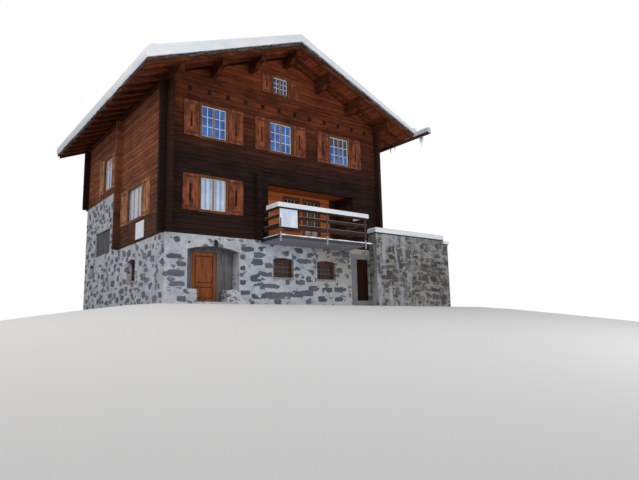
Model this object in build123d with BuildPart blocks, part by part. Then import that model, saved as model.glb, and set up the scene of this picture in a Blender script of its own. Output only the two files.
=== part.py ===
"""Alpine chalet: rubble stone ground floor, notched log storeys, loggia balcony and snowy slab roof.

Millimetres. The origin is the middle of the main block's footprint on the ground, +X runs along the
front wall to the right, +Y into the house and +Z up. Places along a wall are measured from its
front-left or front-right corner.
"""
import math
import os
from dataclasses import dataclass

from build123d import *

os.makedirs("parts", exist_ok=True)

# Main block
house_width = 10400
house_depth = 10200
base_height = 2600
stone_thickness = 600
cross_wall_centre = 5100
cross_wall_gap = 20
floor_thickness = 200
ground_floor_top = 150

# Log storeys
log_thickness = 160
course_height = 190
lower_courses = 14
upper_courses = 16
log_stub = 260
groove_depth = 12
groove_half_height = 14
log_gap = 10
partition_from_left = 3760
joist_first = 860
joist_spacing = 800
joist_width = 140
joist_height = 160
joist_projection = 28

# Roof
roof_pitch = 22.0
plate_rise = 260
rafter_depth = 130
rafter_width = 100
rafter_spacing = 800
board_thickness = 30
slab_butt = 70
slab_head = 40
slab_exposure = 400
slab_overhang = 60
eave_overhang_left = 1250
eave_overhang_right = 1400
gable_overhang = 1180
purlin_width = 200
purlin_depth = 280
purlin_bays = 6
purlin_projection = 1050
corbel_length = 700
corbel_depth = 190
ridge_gap = 2
snow_depth_ridge = 330
snow_depth_left = 430
snow_depth_right = 210
snow_bed = 0.3
snow_lip = 70
snow_round = 120
corbel_share = 0.9

# Entry niche and its door
niche_left = 860
niche_right = 2980
niche_rise = 160
niche_cover = 390
door_left = 1272
door_width = 1012
door_bottom = 162
door_head_clearance = 15
door_thickness = 50
door_gap = 8
door_frame_depth = 90
door_setback = 5
door_mid_post = 100
panel_setback = 30
plinth_top = 610
plinth_left_width = 400
plinth_right_width = 500
door_stile = 130
door_recess = 14
door_inset = 40
door_lower_panel = 450
handle_height = 950
handle_reach = 50
handle_thickness = 18
handle_length = 120

# Cellar door
cellar_from_right = 740
cellar_width = 730
cellar_bottom = 300
cellar_head_height = 230
cellar_setback = 100
cellar_leaf_thickness = 45
cellar_jamb = 330
cellar_lintel_height = 220
pull_height = 860
pull_length = 200
pull_reach = 40
pull_thickness = 20

# Hinges of both doors
knuckle_radius = 8
knuckle_length = 80
knuckle_play = 0.3
knuckle_reach = 10
hinge_end_distance = 260

# Windows of the log storeys
left_column = 1875
middle_column_shift = 42.5
right_column_from_right = 2300
window_width = 1120
window_height = 1300
first_sill_rise = 930
upper_sill_rise = 1120
gable_sill_rise = 650
gable_window_size = 780
side_window_width = 1600
side_window_height = 1380
side_sill_rise = 970
side_window_from_front = 3200
side_shutter_width = 780
rear_window_width = 1100
rear_window_height = 1560
rear_sill_rise = 320
rear_window_from_back = 3300
lining_thickness = 35
lining_depth = 110
casing_width = 60
casing_thickness = 25
sash_setback = 40
sash_thickness = 40
sash_stile = 42
sash_mullion = 80
glass_thickness = 8
shutter_thickness = 42
shutter_gap = 20
shutter_stile = 90
shutter_recess = 14
shutter_drop = 40
loggia_window_spacing = 1090
loggia_window_rise = 850
loggia_window_width = 800
loggia_window_height = 1430
loggia_door_from_right = 1380
loggia_threshold = 60
loggia_door_width = 860
loggia_door_height = 2220
shutter_slot_width = 80
shutter_slot_foot = 0.25
shutter_slot_share = 0.47

# Windows of the stone storey
stone_window_from_jamb = 1400
stone_window_spacing = 2190
side_stone_column = 3420
side_stone_sill = 1050
side_stone_width = 900
side_stone_height = 950
small_stone_from_back = 1150
small_stone_sill = 1780
small_stone_width = 700
small_stone_height = 580
back_stone_column = 2600
back_stone_sill = 1100
upper_stone_rise = 1050
stone_window_width = 1000
stone_window_height = 860
stone_window_sill = 1100
stone_window_rise = 80
stone_window_setback = 180
stone_frame = 70
stone_sill_height = 60
stone_sill_lip = 50
arch_pieces = 6
grille_bar = 16
grille_gaps = 5
grille_cross_shares = (0.25, 0.75)
opening_setback = 60
batten_width = 90
batten_shares = (0.16, 0.76)
boarded_width = 2200
boarded_height = 1100
boarded_sill_rise = 60
boarded_from_back = 2750

# Loggia and balcony
loggia_left = 4300
loggia_from_right = 1600
loggia_depth = 1300
loggia_height = 2350
balcony_left = 3950
balcony_from_right = 1950
balcony_depth = 1300
balcony_slab_thickness = 130
balcony_edge_thickness = 70
fascia_height = 110
fascia_thickness = 40
rail_height = 1130
rail_size = 70
post_width = 60
post_thickness = 20
balcony_board_feet = (300, 720)
balcony_board_heights = (200, 130)
balcony_board_thickness = 30
rail_snow_depth = 190
rail_snow_width = 210
rail_snow_lip = 65
rail_snow_round = 55
side_snow_width = 150
side_snow_length = 860
rail_lip = 20
post_shares = (0.01, 0.51, 0.97)
post_foot = 130
banner_start = 30
banner_width = 820
banner_height = 700
banner_thickness = 8
cloth_gap = 0.3

# Wing wall at the right
wing_overlap = 700
wing_length = 4550
wing_thickness = 500
wing_rise = 780
wing_cap_thickness = 50
wing_step_length = 380
wing_step_drop = 250
wing_snow_depth = 240
wing_snow_lip = 60
wing_snow_round = 100
wing_cap_lip = 30

# Gutter on the right eave
gutter_radius = 100
gutter_wall = 22
gutter_drop = 130
gutter_front_run = 950
gutter_pieces = 8
bracket_width = 30
bracket_depth = 50

# Small pieces on the walls
board_width = 880
board_panel_height = 670
board_from_front = 2530
notice_rise = 120
lantern_from_left = 1960
lantern_drop = 440
lantern_height = 300
lantern_reach = 120
lantern_radius = 85
lantern_glass_taper = 9
lantern_roof_taper = 26
lantern_foot_radius = 42
lantern_arm = 16
lantern_plate = 70
lantern_glass_share = 0.55
notice_thickness = 25

# Worked-out places
left = -house_width / 2
right = house_width / 2
front = -house_depth / 2
back = house_depth / 2
slope = math.tan(math.radians(roof_pitch))
across_slope = 1 / math.cos(math.radians(roof_pitch))
lower_top = base_height + lower_courses * course_height
wall_top = lower_top + upper_courses * course_height
niche_crown = base_height - niche_cover
niche_spring = niche_crown - niche_rise
door_height = niche_spring - door_head_clearance - door_bottom
cellar_left = house_width - cellar_from_right - cellar_width
cellar_height = base_height - cellar_head_height - cellar_lintel_height - cellar_bottom
right_column = house_width - right_column_from_right
middle_column = (left_column + right_column) / 2 - middle_column_shift
upper_sill = lower_top + upper_sill_rise
gable_sill = wall_top + gable_sill_rise
right_stone_column = cellar_left - cellar_jamb - stone_window_from_jamb
boarded_from_front = house_depth - boarded_from_back
boarded_sill = base_height + boarded_sill_rise
loggia_right = house_width - loggia_from_right
loggia_door_centre = loggia_right - loggia_door_from_right
wing_left = house_width - wing_overlap
wing_right = wing_left + wing_length
wing_top = base_height + wing_rise
wing_step_top = wing_top - wing_step_drop
ridge_seat = wall_top + plate_rise + slope * house_width / 2
stone_rear_start = cross_wall_centre + log_thickness / 2 + cross_wall_gap

front_face = Plane(origin=(left, front, 0), x_dir=(1, 0, 0), z_dir=(0, -1, 0))
back_face = Plane(origin=(right, back, 0), x_dir=(-1, 0, 0), z_dir=(0, 1, 0))
left_face = Plane(origin=(left, front, 0), x_dir=(0, -1, 0), z_dir=(-1, 0, 0))
right_face = Plane(origin=(right, front, 0), x_dir=(0, 1, 0), z_dir=(1, 0, 0))


def save(piece, name):
    """Label a finished piece and write it under its node's name."""
    piece.part.label = name
    export_step(piece.part, f"parts/{name}.step")


def block(x, y, z, mode=Mode.ADD):
    """A block between two places along each axis, in the current part."""
    size = [high - low for low, high in (x, y, z)]
    middle = [(low + high) / 2 for low, high in (x, y, z)]
    with Locations(Vector(*middle)):
        Box(*size, mode=mode)


def plates(plane, outlines, thickness, mode=Mode.ADD):
    """Straight-sided outlines on one plane or several, extruded to a thickness along their normals."""
    with BuildSketch(*(plane if isinstance(plane, list) else [plane])) as shapes:
        for points in outlines:
            with BuildLine():
                Polyline(*points, close=True)
            make_face()
    extrude(shapes.sketch, amount=thickness, mode=mode)


def panels(plane, sizes, thickness, mode=Mode.ADD, holes=()):
    """Upright rectangles on a wall plane, less smaller ones, extruded along the plane's normal.

    Each size is the middle along the wall, the bottom, the width and the height.
    """
    with BuildSketch(plane) as shapes:
        for group, sketch_mode in ((sizes, Mode.ADD), (holes, Mode.SUBTRACT)):
            for centre, bottom, width, height in group:
                with Locations((centre, bottom + height / 2)):
                    Rectangle(width, height, mode=sketch_mode)
    extrude(shapes.sketch, amount=thickness, mode=mode)


def arch_points(centre, spring, width, rise):
    """Points of a shallow arch of straight pieces, from its right springing to its left one."""
    shares = [1 - 2 * index / arch_pieces for index in range(arch_pieces + 1)]
    return [(centre + share * width / 2, spring + rise * (1 - share ** 2)) for share in shares]


def arches(plane, sizes, rise, thickness, mode=Mode.ADD, holes=()):
    """Upright shapes with shallow arched heads, less rectangles, extruded along the plane's normal."""
    with BuildSketch(plane) as shapes:
        for centre, bottom, width, height in sizes:
            head = arch_points(centre, bottom + height - rise, width, rise)
            with BuildLine():
                Polyline((centre - width / 2, bottom), (centre + width / 2, bottom), *head, close=True)
            make_face()
        for centre, bottom, width, height in holes:
            with Locations((centre, bottom + height / 2)):
                Rectangle(width, height, mode=Mode.SUBTRACT)
    extrude(shapes.sketch, amount=thickness, mode=mode)


@dataclass
class Window:
    """One window: its wall's plane, its centre along it, and its opening."""

    wall: Plane
    centre: float
    sill: float
    width: float
    height: float
    lights: int = 2
    shutter_width: float = 0

    def size(self, grow=0):
        """Middle, bottom, width and height of the opening, grown all round."""
        return (self.centre, self.sill - grow, self.width + 2 * grow, self.height + 2 * grow)

    def light_sizes(self):
        """Middle, bottom, width and height of each glazed light."""
        edge = lining_thickness + sash_stile
        clear = self.width - 2 * edge
        light_width = (clear - (self.lights - 1) * sash_mullion) / self.lights
        first = self.centre - clear / 2 + light_width / 2
        step = light_width + sash_mullion
        return [
            (first + index * step, self.sill + edge, light_width, self.height - 2 * edge)
            for index in range(self.lights)
        ]

    def stone_frame_size(self):
        """Middle, bottom, width and height of the frame of a window in a stone wall."""
        return (self.centre, self.sill + stone_sill_height, self.width, self.height - stone_sill_height)

    def stone_light_size(self):
        """Middle, bottom, width and height of the glass of a window in a stone wall."""
        centre, bottom, width, height = self.stone_frame_size()
        edge = stone_frame
        return (centre, bottom + edge, width - 2 * edge, height - stone_window_rise - 2 * edge)


def shutter_fit(width):
    """Width of one shutter that covers half of a window opening and its lining."""
    return width / 2 + casing_width - shutter_gap / 2


front_windows = [
    Window(front_face, left_column, base_height + first_sill_rise, window_width, window_height, 2,
           shutter_fit(window_width)),
] + [
    Window(front_face, centre, upper_sill, window_width, window_height, 2, shutter_fit(window_width))
    for centre in (left_column, middle_column, right_column)
] + [
    Window(front_face, middle_column, gable_sill, gable_window_size, gable_window_size, 2,
           shutter_fit(gable_window_size)),
]
side_windows = [
    window
    for wall, sign in ((left_face, -1), (right_face, 1))
    for window in (
        Window(wall, sign * side_window_from_front, base_height + side_sill_rise, side_window_width,
               side_window_height, 3, side_shutter_width),
        Window(wall, sign * (house_depth - rear_window_from_back), lower_top + rear_sill_rise,
               rear_window_width, rear_window_height, 2, shutter_fit(rear_window_width)),
    )
]
back_windows = [
    Window(back_face, centre, upper_sill, window_width, window_height, 2, shutter_fit(window_width))
    for centre in (left_column, house_width / 2, house_width - left_column)
] + [
    Window(back_face, house_width / 2, gable_sill, gable_window_size, gable_window_size, 2,
           shutter_fit(gable_window_size)),
]
loggia_back_face = front_face.offset(-loggia_depth)
loggia_windows = [
    Window(loggia_back_face, loggia_door_centre - loggia_window_spacing, base_height + loggia_window_rise,
           loggia_window_width, loggia_window_height),
    Window(loggia_back_face, loggia_door_centre, base_height + loggia_threshold, loggia_door_width,
           loggia_door_height),
]
timber_windows = front_windows + side_windows + back_windows

front_stone_windows = [
    Window(front_face, centre, stone_window_sill, stone_window_width, stone_window_height)
    for centre in (right_stone_column - stone_window_spacing, right_stone_column)
]
left_stone_windows = [
    Window(left_face, -side_stone_column, side_stone_sill, side_stone_width, side_stone_height),
    Window(left_face, small_stone_from_back - house_depth, small_stone_sill, small_stone_width,
           small_stone_height),
]
right_stone_windows = [
    Window(right_face, side_stone_column, side_stone_sill, side_stone_width, side_stone_height),
    Window(right_face, house_depth - back_stone_column, base_height + upper_stone_rise, side_stone_width,
           side_stone_height),
]
back_stone_windows = [
    Window(back_face, centre, sill, side_stone_width, side_stone_height)
    for sill in (back_stone_sill, base_height + upper_stone_rise)
    for centre in (back_stone_column, house_width - back_stone_column)
]
stone_windows = front_stone_windows + left_stone_windows + right_stone_windows + back_stone_windows


def by_wall(windows):
    """The windows in groups that share one wall, each with that wall's plane."""
    groups = {}
    for window in windows:
        groups.setdefault(id(window.wall), []).append(window)
    return [(group[0].wall, group) for group in groups.values()]


def cut_windows(windows, depth):
    """Cut rectangular window openings through the current wall."""
    for wall, group in by_wall(windows):
        panels(wall, [window.size() for window in group], -depth, Mode.SUBTRACT)


def cut_stone_windows(windows):
    """Cut windows with a shallow arched head through the current stone wall."""
    for wall, group in by_wall(windows):
        arches(wall, [window.size() for window in group], stone_window_rise, -stone_thickness, Mode.SUBTRACT)


def across(y):
    """The plane across the house at a place along it, with X to the right and the normal to the front."""
    return Plane(origin=(0, y, 0), x_dir=(1, 0, 0), z_dir=(0, -1, 0))


def along(plane, distance):
    """The plane across a wall at a distance along it, with x running into the house."""
    return Plane(origin=plane.origin + plane.x_dir * distance, x_dir=-plane.z_dir, z_dir=plane.x_dir)


def log_joints(bottom, top, shift):
    """Heights of the joints between courses in a stretch of wall; shift raises the courses."""
    count = int((top - bottom) / course_height) + 1
    first = base_height + shift
    first += math.ceil((bottom + groove_half_height - first) / course_height) * course_height
    return [first + index * course_height for index in range(count)
            if bottom + groove_half_height < first + index * course_height < top - groove_half_height]


def log_run(wall, start, end, bottom, top, shift):
    """A stretch of squared logs between two places along a wall plane, with V grooves outside."""
    outline = [(log_thickness, top), (log_thickness, bottom), (0, bottom)]
    for joint in log_joints(bottom, top, shift):
        outline += [(0, joint - groove_half_height), (groove_depth, joint), (0, joint + groove_half_height)]
    plates(along(wall, start), [outline + [(0, top)]], end - start)


def log_stack(centre, width, height, bottom, top, shift):
    """Middle, bottom, width and height of a stack of log sections, one in the middle of each course."""
    joints = [bottom, *log_joints(bottom, top, shift), top]
    sizes = []
    for low, high in zip(joints, joints[1:]):
        middle = (low + high) / 2
        whole = high - low > course_height * 3 / 4
        section = height if whole else height - course_height / 2
        sizes.append((centre, middle - section / 2, width, section))
    return sizes


def log_corner(wall, start, bottom, top, shift, outward, covered=0):
    """Half-height necks in a corner and the log ends beyond it, outward -1 or 1 along the wall.

    covered is the height over which a wall that stands against the corner leaves no room for log ends.
    """
    centre = start + log_thickness / 2
    necks = []
    for joint in [bottom - shift % course_height, *log_joints(bottom, top, shift)]:
        low = max(bottom, joint + course_height / 4)
        high = min(top, joint + course_height * 3 / 4)
        if high > low:
            necks.append((centre, low, log_thickness, high - low))
    panels(wall, necks, -log_thickness)
    ends = log_stack(centre + outward * (log_thickness + log_stub) / 2, log_stub, course_height - log_gap,
                     bottom, top, shift)
    panels(wall, [size for size in ends if size[1] >= bottom + covered], -log_thickness)


def log_ends(wall, centre, bottom, top, shift):
    """The ends of an inner wall's logs, standing out through an outer wall."""
    sizes = log_stack(centre, log_thickness, course_height - log_gap, bottom, top, shift)
    panels(wall.offset(-groove_depth), sizes, log_stub + groove_depth)


def roof_z(x, layer=0.0):
    """Height of a roof layer above a place across the house; layer is measured square to the slope."""
    return ridge_seat + layer * across_slope - slope * abs(x)


# Stone storey


def ground_floor():
    """Stone floor inside the ground-floor walls."""
    with BuildPart() as floor:
        block((left + stone_thickness, right - stone_thickness),
              (front + stone_thickness, back - stone_thickness), (0, ground_floor_top))
    save(floor, "ground_floor")


def stone_front():
    """Front stone wall in pieces beside and over the two doorways."""
    deep = (front, front + stone_thickness)
    cellar_right = cellar_left + cellar_width
    lintel_bottom = cellar_bottom + cellar_height
    with BuildPart() as stone_front_left:
        block((left, left + niche_left), deep, (0, base_height))
    save(stone_front_left, "stone_front_left")
    with BuildPart() as stone_entry_arch:
        block((left + niche_left, left + niche_right), deep, (niche_spring, base_height))
        rise = niche_crown - niche_spring
        niche = ((niche_left + niche_right) / 2, niche_spring - rise, niche_right - niche_left, 2 * rise)
        arches(front_face, [niche], rise, -stone_thickness, Mode.SUBTRACT)
    save(stone_entry_arch, "stone_entry_arch")
    with BuildPart() as stone_front_middle:
        block((left + niche_right, left + cellar_left - cellar_jamb), deep, (0, base_height))
        cut_stone_windows(front_stone_windows)
    save(stone_front_middle, "stone_front_middle")
    with BuildPart() as stone_front_right:
        block((left + cellar_right, right), deep, (0, base_height))
    save(stone_front_right, "stone_front_right")
    with BuildPart() as cellar_surround:
        block((left + cellar_left - cellar_jamb, left + cellar_left), deep, (0, lintel_bottom))
        block((left + cellar_left - cellar_jamb, left + cellar_right), deep,
              (lintel_bottom, lintel_bottom + cellar_lintel_height))
        block((left + cellar_left, left + cellar_right), deep, (0, cellar_bottom - door_gap))
        add_knuckles(left + cellar_left + knuckle_reach, front + cellar_setback - knuckle_reach,
                     cellar_bottom, cellar_height, -knuckle_reach - knuckle_radius, 0, upper=False)
    save(cellar_surround, "cellar_surround")
    with BuildPart() as stone_cellar_head:
        block((left + cellar_left - cellar_jamb, left + cellar_right), deep,
              (lintel_bottom + cellar_lintel_height, base_height))
    save(stone_cellar_head, "stone_cellar_head")


def stone_sides():
    """Left, right and back stone walls, which rise a storey higher in the rear half."""
    deep = (front + stone_thickness, back - stone_thickness)
    rear = (front + stone_rear_start, back - stone_thickness)
    with BuildPart() as stone_wall_left:
        block((left, left + stone_thickness), deep, (0, base_height))
        block((left, left + stone_thickness), rear, (base_height, lower_top))
        cut_stone_windows(left_stone_windows)
        panels(left_face, [(-boarded_from_front, boarded_sill, boarded_width, boarded_height)],
               -stone_thickness, Mode.SUBTRACT)
    save(stone_wall_left, "stone_wall_left")
    with BuildPart() as stone_wall_right:
        block((right - stone_thickness, right), deep, (0, base_height))
        block((right - stone_thickness, right), rear, (base_height, lower_top))
        cut_stone_windows(right_stone_windows)
    save(stone_wall_right, "stone_wall_right")
    with BuildPart() as stone_wall_back:
        block((left, right), (back - stone_thickness, back), (0, lower_top))
        cut_stone_windows(back_stone_windows)
    save(stone_wall_back, "stone_wall_back")


def wing_wall():
    """Wing wall that stands out from the right of the front, with thin cap slabs and snow."""
    deep = (front - wing_thickness, front)
    with BuildPart() as wing:
        block((left + wing_left, left + wing_right), deep, (0, wing_top - wing_cap_thickness))
        block((left + wing_right, left + wing_right + wing_step_length), deep, (0, wing_step_top))
    save(wing, "wing_wall")
    step_end = left + wing_right + wing_step_length
    with BuildPart() as cap:
        block((left + wing_left - wing_cap_lip, left + wing_right + wing_cap_lip),
              (deep[0] - wing_cap_lip, deep[1]), (wing_top - wing_cap_thickness, wing_top))
        block((left + wing_right, step_end + wing_cap_lip), (deep[0] - wing_cap_lip, deep[1]),
              (wing_step_top, wing_step_top + wing_cap_thickness))
    save(cap, "wing_cap_slabs")
    with BuildPart() as snow:
        block((left + wing_left - wing_snow_lip, left + wing_right + wing_snow_lip),
              (deep[0] - wing_snow_lip, deep[1]), (wing_top, wing_top + wing_snow_depth))
        fillet(snow.edges().group_by(Axis.Z)[-1], wing_snow_round)
    save(snow, "wing_snow")
    with BuildPart() as step_snow:
        block((left + wing_right + wing_cap_lip, step_end + wing_snow_lip),
              (deep[0] - wing_snow_lip, deep[1]),
              (wing_step_top + wing_cap_thickness, wing_top - wing_cap_thickness))
        fillet(step_snow.edges().group_by(Axis.Z)[-1].group_by(Axis.X)[-1], wing_cap_lip)
    save(step_snow, "wing_step_snow")


# Doors


def add_knuckles(x, y, bottom, height, reach_x, reach_y, upper):
    """Lower or upper knuckles of two lift-off hinges on a vertical axis, each with its leaf plate.

    reach_x and reach_y give how far the plate lies to the side of the axis.
    """
    half = knuckle_radius / 2
    shift = (knuckle_length + knuckle_play) / 2 * (1 if upper else -1)
    for end in (bottom + hinge_end_distance, bottom + height - hinge_end_distance):
        middle = end + shift
        with Locations((x, y, middle)):
            Cylinder(knuckle_radius, knuckle_length)
        low_x, high_x = sorted((x, x + reach_x)) if reach_x else (x - half, x + half)
        low_y, high_y = sorted((y, y + reach_y)) if reach_y else (y - half, y + half)
        block((low_x, high_x), (low_y, high_y), (middle - knuckle_length / 2, middle + knuckle_length / 2))


def entry():
    """Entry in its niche: timber frame with a plank panel, low stone plinths, and the door leaf."""
    inner = front + stone_thickness
    leaf_back = inner - door_setback
    leaf_front = leaf_back - door_thickness
    frame = (inner - door_frame_depth, inner)
    leaf_left = left + door_left
    leaf_right = leaf_left + door_width
    door_top = door_bottom + door_height
    head_bottom = door_top + door_gap
    axis_x = leaf_left - door_gap / 2
    axis_y = inner + knuckle_reach
    head = ((niche_left + niche_right) / 2, head_bottom, niche_right - niche_left, niche_crown - head_bottom)
    post_left = leaf_right + door_gap
    post_right = post_left + door_mid_post
    with BuildPart() as entry_frame:
        block((left + niche_left, leaf_left - door_gap), frame, (ground_floor_top, head_bottom))
        block((post_left, post_right), frame, (ground_floor_top, head_bottom))
        block((post_right, left + niche_right), (frame[0] + panel_setback, inner),
              (ground_floor_top, head_bottom))
        arches(front_face.offset(-stone_thickness + door_frame_depth), [head], niche_crown - niche_spring,
               -door_frame_depth)
        add_knuckles(axis_x, axis_y, door_bottom, door_height, -2 * knuckle_reach, -knuckle_reach,
                     upper=False)
    save(entry_frame, "entry_frame")
    with BuildPart() as entry_plinths:
        block((left + niche_left, left + niche_right), (front, inner), (0, ground_floor_top))
        block((left + niche_left, left + niche_left + plinth_left_width), (front, frame[0]),
              (ground_floor_top, plinth_top))
        block((left + niche_right - plinth_right_width, left + niche_right), (front, frame[0]),
              (ground_floor_top, plinth_top))
    save(entry_plinths, "entry_plinths")
    with BuildPart() as front_door:
        block((leaf_left, leaf_right), (leaf_front, leaf_back), (door_bottom, door_top))
        span = (leaf_left + door_stile, leaf_right - door_stile)
        lower_panel = (door_bottom + door_stile, door_bottom + door_stile + door_lower_panel)
        upper_panel = (lower_panel[1] + door_stile, door_top - door_stile)
        for low_y in (leaf_front, leaf_back - door_recess):
            for height in (lower_panel, upper_panel):
                depth = (low_y, low_y + door_recess)
                block(span, depth, height, Mode.SUBTRACT)
                block((span[0] + door_inset, span[1] - door_inset), depth,
                      (height[0] + door_inset, height[1] - door_inset))
        handle_z = door_bottom + handle_height
        handle_x = leaf_right - door_stile / 2
        handle_y = leaf_front - handle_reach
        height = (handle_z - handle_thickness / 2, handle_z + handle_thickness / 2)
        block((handle_x - handle_thickness, handle_x), (handle_y, leaf_front), height)
        block((handle_x - handle_length, handle_x), (handle_y, handle_y + handle_thickness), height)
        add_knuckles(axis_x, axis_y, door_bottom, door_height, 2 * knuckle_reach, leaf_back - axis_y,
                     upper=True)
    save(front_door, "front_door")


def cellar_door():
    """Plank leaf of the cellar door, which opens outwards."""
    leaf_left = left + cellar_left
    leaf_right = leaf_left + cellar_width - door_gap
    outer = front + cellar_setback
    axis_x = leaf_left + knuckle_reach
    with BuildPart() as leaf:
        block((leaf_left + door_gap, leaf_right), (outer, outer + cellar_leaf_thickness),
              (cellar_bottom, cellar_bottom + cellar_height - door_gap))
        inner = outer + cellar_leaf_thickness
        for share in batten_shares:
            foot = cellar_bottom + cellar_height * share
            block((leaf_left + batten_width / 2, leaf_right - batten_width / 2),
                  (inner, inner + casing_thickness), (foot, foot + batten_width))
        pull_x = (leaf_right - batten_width, leaf_right - batten_width + pull_thickness)
        pull_foot = cellar_bottom + pull_height
        pull_y = outer - pull_reach
        for foot in (pull_foot, pull_foot + pull_length - pull_thickness):
            block(pull_x, (pull_y, outer), (foot, foot + pull_thickness))
        block(pull_x, (pull_y, pull_y + pull_thickness), (pull_foot, pull_foot + pull_length))
        add_knuckles(axis_x, outer - knuckle_reach, cellar_bottom, cellar_height, 2 * knuckle_reach,
                     knuckle_reach, upper=True)
    save(leaf, "cellar_door")


# Log storeys


def log_walls():
    """Log walls of the two timber storeys and the gables, with notched corners."""
    half = course_height / 2
    width = house_width
    depth = house_depth
    inner = log_thickness
    with BuildPart() as log_front_lower:
        log_run(front_face, inner, width - inner, base_height, lower_top, 0)
        log_corner(front_face, 0, base_height, lower_top, 0, -1)
        log_corner(front_face, width - inner, base_height, lower_top, 0, 1)
        log_ends(front_face, partition_from_left, base_height, lower_top, half)
        cut_windows(front_windows[:1], inner)
        loggia = ((loggia_left + loggia_right) / 2, base_height, loggia_right - loggia_left, loggia_height)
        panels(front_face, [loggia], -inner, Mode.SUBTRACT)
    save(log_front_lower, "log_front_lower")
    with BuildPart() as log_front_upper:
        log_run(front_face, inner, width - inner, lower_top, wall_top, 0)
        log_corner(front_face, 0, lower_top, wall_top, 0, -1)
        log_corner(front_face, width - inner, lower_top, wall_top, 0, 1)
        cut_windows(front_windows[1:4], inner)
    save(log_front_upper, "log_front_upper")
    with BuildPart() as log_back_upper:
        log_run(back_face, inner, width - inner, lower_top, wall_top, 0)
        log_corner(back_face, 0, lower_top, wall_top, 0, -1)
        log_corner(back_face, width - inner, lower_top, wall_top, 0, 1)
        cut_windows(back_windows[:3], inner)
    save(log_back_upper, "log_back_upper")
    for name, wall, sign, windows in (
        ("left", left_face, -1, side_windows[:2]),
        ("right", right_face, 1, side_windows[2:]),
    ):
        near = 0 if sign > 0 else -inner
        rear = depth - inner if sign > 0 else -depth
        covered = wing_top + wing_snow_depth - base_height if sign > 0 else 0
        with BuildPart() as lower:
            places = sorted((sign * inner, sign * stone_rear_start))
            log_run(wall, places[0], places[1], base_height, lower_top, half)
            log_corner(wall, near, base_height, lower_top, half, -sign, covered)
            log_ends(wall, sign * cross_wall_centre, base_height, lower_top, 0)
            cut_windows(windows[:1], inner)
        save(lower, f"log_{name}_lower")
        with BuildPart() as upper:
            places = sorted((sign * inner, sign * (depth - inner)))
            log_run(wall, places[0], places[1], lower_top, wall_top, half)
            log_corner(wall, near, lower_top, wall_top, half, -sign)
            log_corner(wall, rear, lower_top, wall_top, half, sign)
            log_ends(wall, sign * cross_wall_centre, lower_top, wall_top, 0)
            cut_windows(windows[1:], inner)
        save(upper, f"log_{name}_upper")


def purlin_centres():
    """Places of the purlins across the house, from the left plate to the right plate."""
    first = left + purlin_width / 2
    step = (house_width - purlin_width) / purlin_bays
    return [first + index * step for index in range(purlin_bays + 1)]


def purlin_outline(centre):
    """Section of one purlin, with its top cut to the roof slope."""
    low = centre - purlin_width / 2
    high = centre + purlin_width / 2
    plate_purlin = abs(centre) > house_width / 2 - purlin_width
    bottom = wall_top if plate_purlin else roof_z(centre) - purlin_depth
    top = [(low, roof_z(low)), (high, roof_z(high))]
    if low < 0 < high:
        top.insert(1, (0, roof_z(0)))
    return bottom, [(low, bottom), *top, (high, bottom)]


def gable_walls():
    """Log gables cut to the roof slope, with pockets for the purlins."""
    top = roof_z(0) + course_height
    above_roof = [(left, roof_z(left)), (0, roof_z(0)), (right, roof_z(right)), (right, top), (left, top)]
    for name, wall, rear_y, window in (
        ("log_gable_front", front_face, front + log_thickness, front_windows[-1]),
        ("log_gable_back", back_face, back, back_windows[-1]),
    ):
        with BuildPart() as gable:
            log_run(wall, purlin_width, house_width - purlin_width, wall_top, top, 0)
            cuts = [purlin_outline(centre)[1] for centre in purlin_centres()[1:-1]]
            plates(across(rear_y), [above_roof] + cuts, log_thickness, Mode.SUBTRACT)
            cut_windows([window], log_thickness)
        save(gable, name)


def loggia_walls():
    """Side and back walls of the loggia, behind the balcony."""
    left_inner = left + partition_from_left + log_thickness / 2
    deep = (front + log_thickness, front + loggia_depth)
    with BuildPart() as walls:
        block((left_inner - log_thickness, left_inner), deep, (base_height, lower_top - floor_thickness))
        block((left + loggia_right, left + loggia_right + log_thickness), deep,
              (base_height, lower_top - floor_thickness))
        block((left_inner - log_thickness, left + loggia_right + log_thickness),
              (deep[1], deep[1] + log_thickness), (base_height, lower_top - floor_thickness))
        cut_windows(loggia_windows, log_thickness)
    save(walls, "loggia_walls")


def floors():
    """Timber floors of the upper storeys, fitted between the walls."""
    narrow = (left + stone_thickness, right - stone_thickness)
    wide = (left + log_thickness, right - log_thickness)
    with BuildPart() as first_floor:
        block(narrow, (front + stone_thickness, back - stone_thickness),
              (base_height - floor_thickness, base_height))
    save(first_floor, "first_floor")
    height = (lower_top - floor_thickness, lower_top)
    with BuildPart() as second_floor:
        block(wide, (front + log_thickness, front + stone_rear_start), height)
        block(narrow, (front + stone_rear_start, back - stone_thickness), height)
    save(second_floor, "second_floor")
    with BuildPart() as attic_floor:
        block(wide, (front + log_thickness, back - log_thickness),
              (wall_top - floor_thickness, wall_top))
    save(attic_floor, "attic_floor")
    with BuildPart() as joist_ends:
        count = int((house_width - joist_first - 2 * log_thickness) / joist_spacing)
        bottom = wall_top - course_height / 2 - joist_height / 2
        panels(front_face, [(joist_first + index * joist_spacing, bottom, joist_width, joist_height)
                            for index in range(count + 1)], joist_projection)
    save(joist_ends, "joist_ends")


# Windows and shutters


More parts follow.
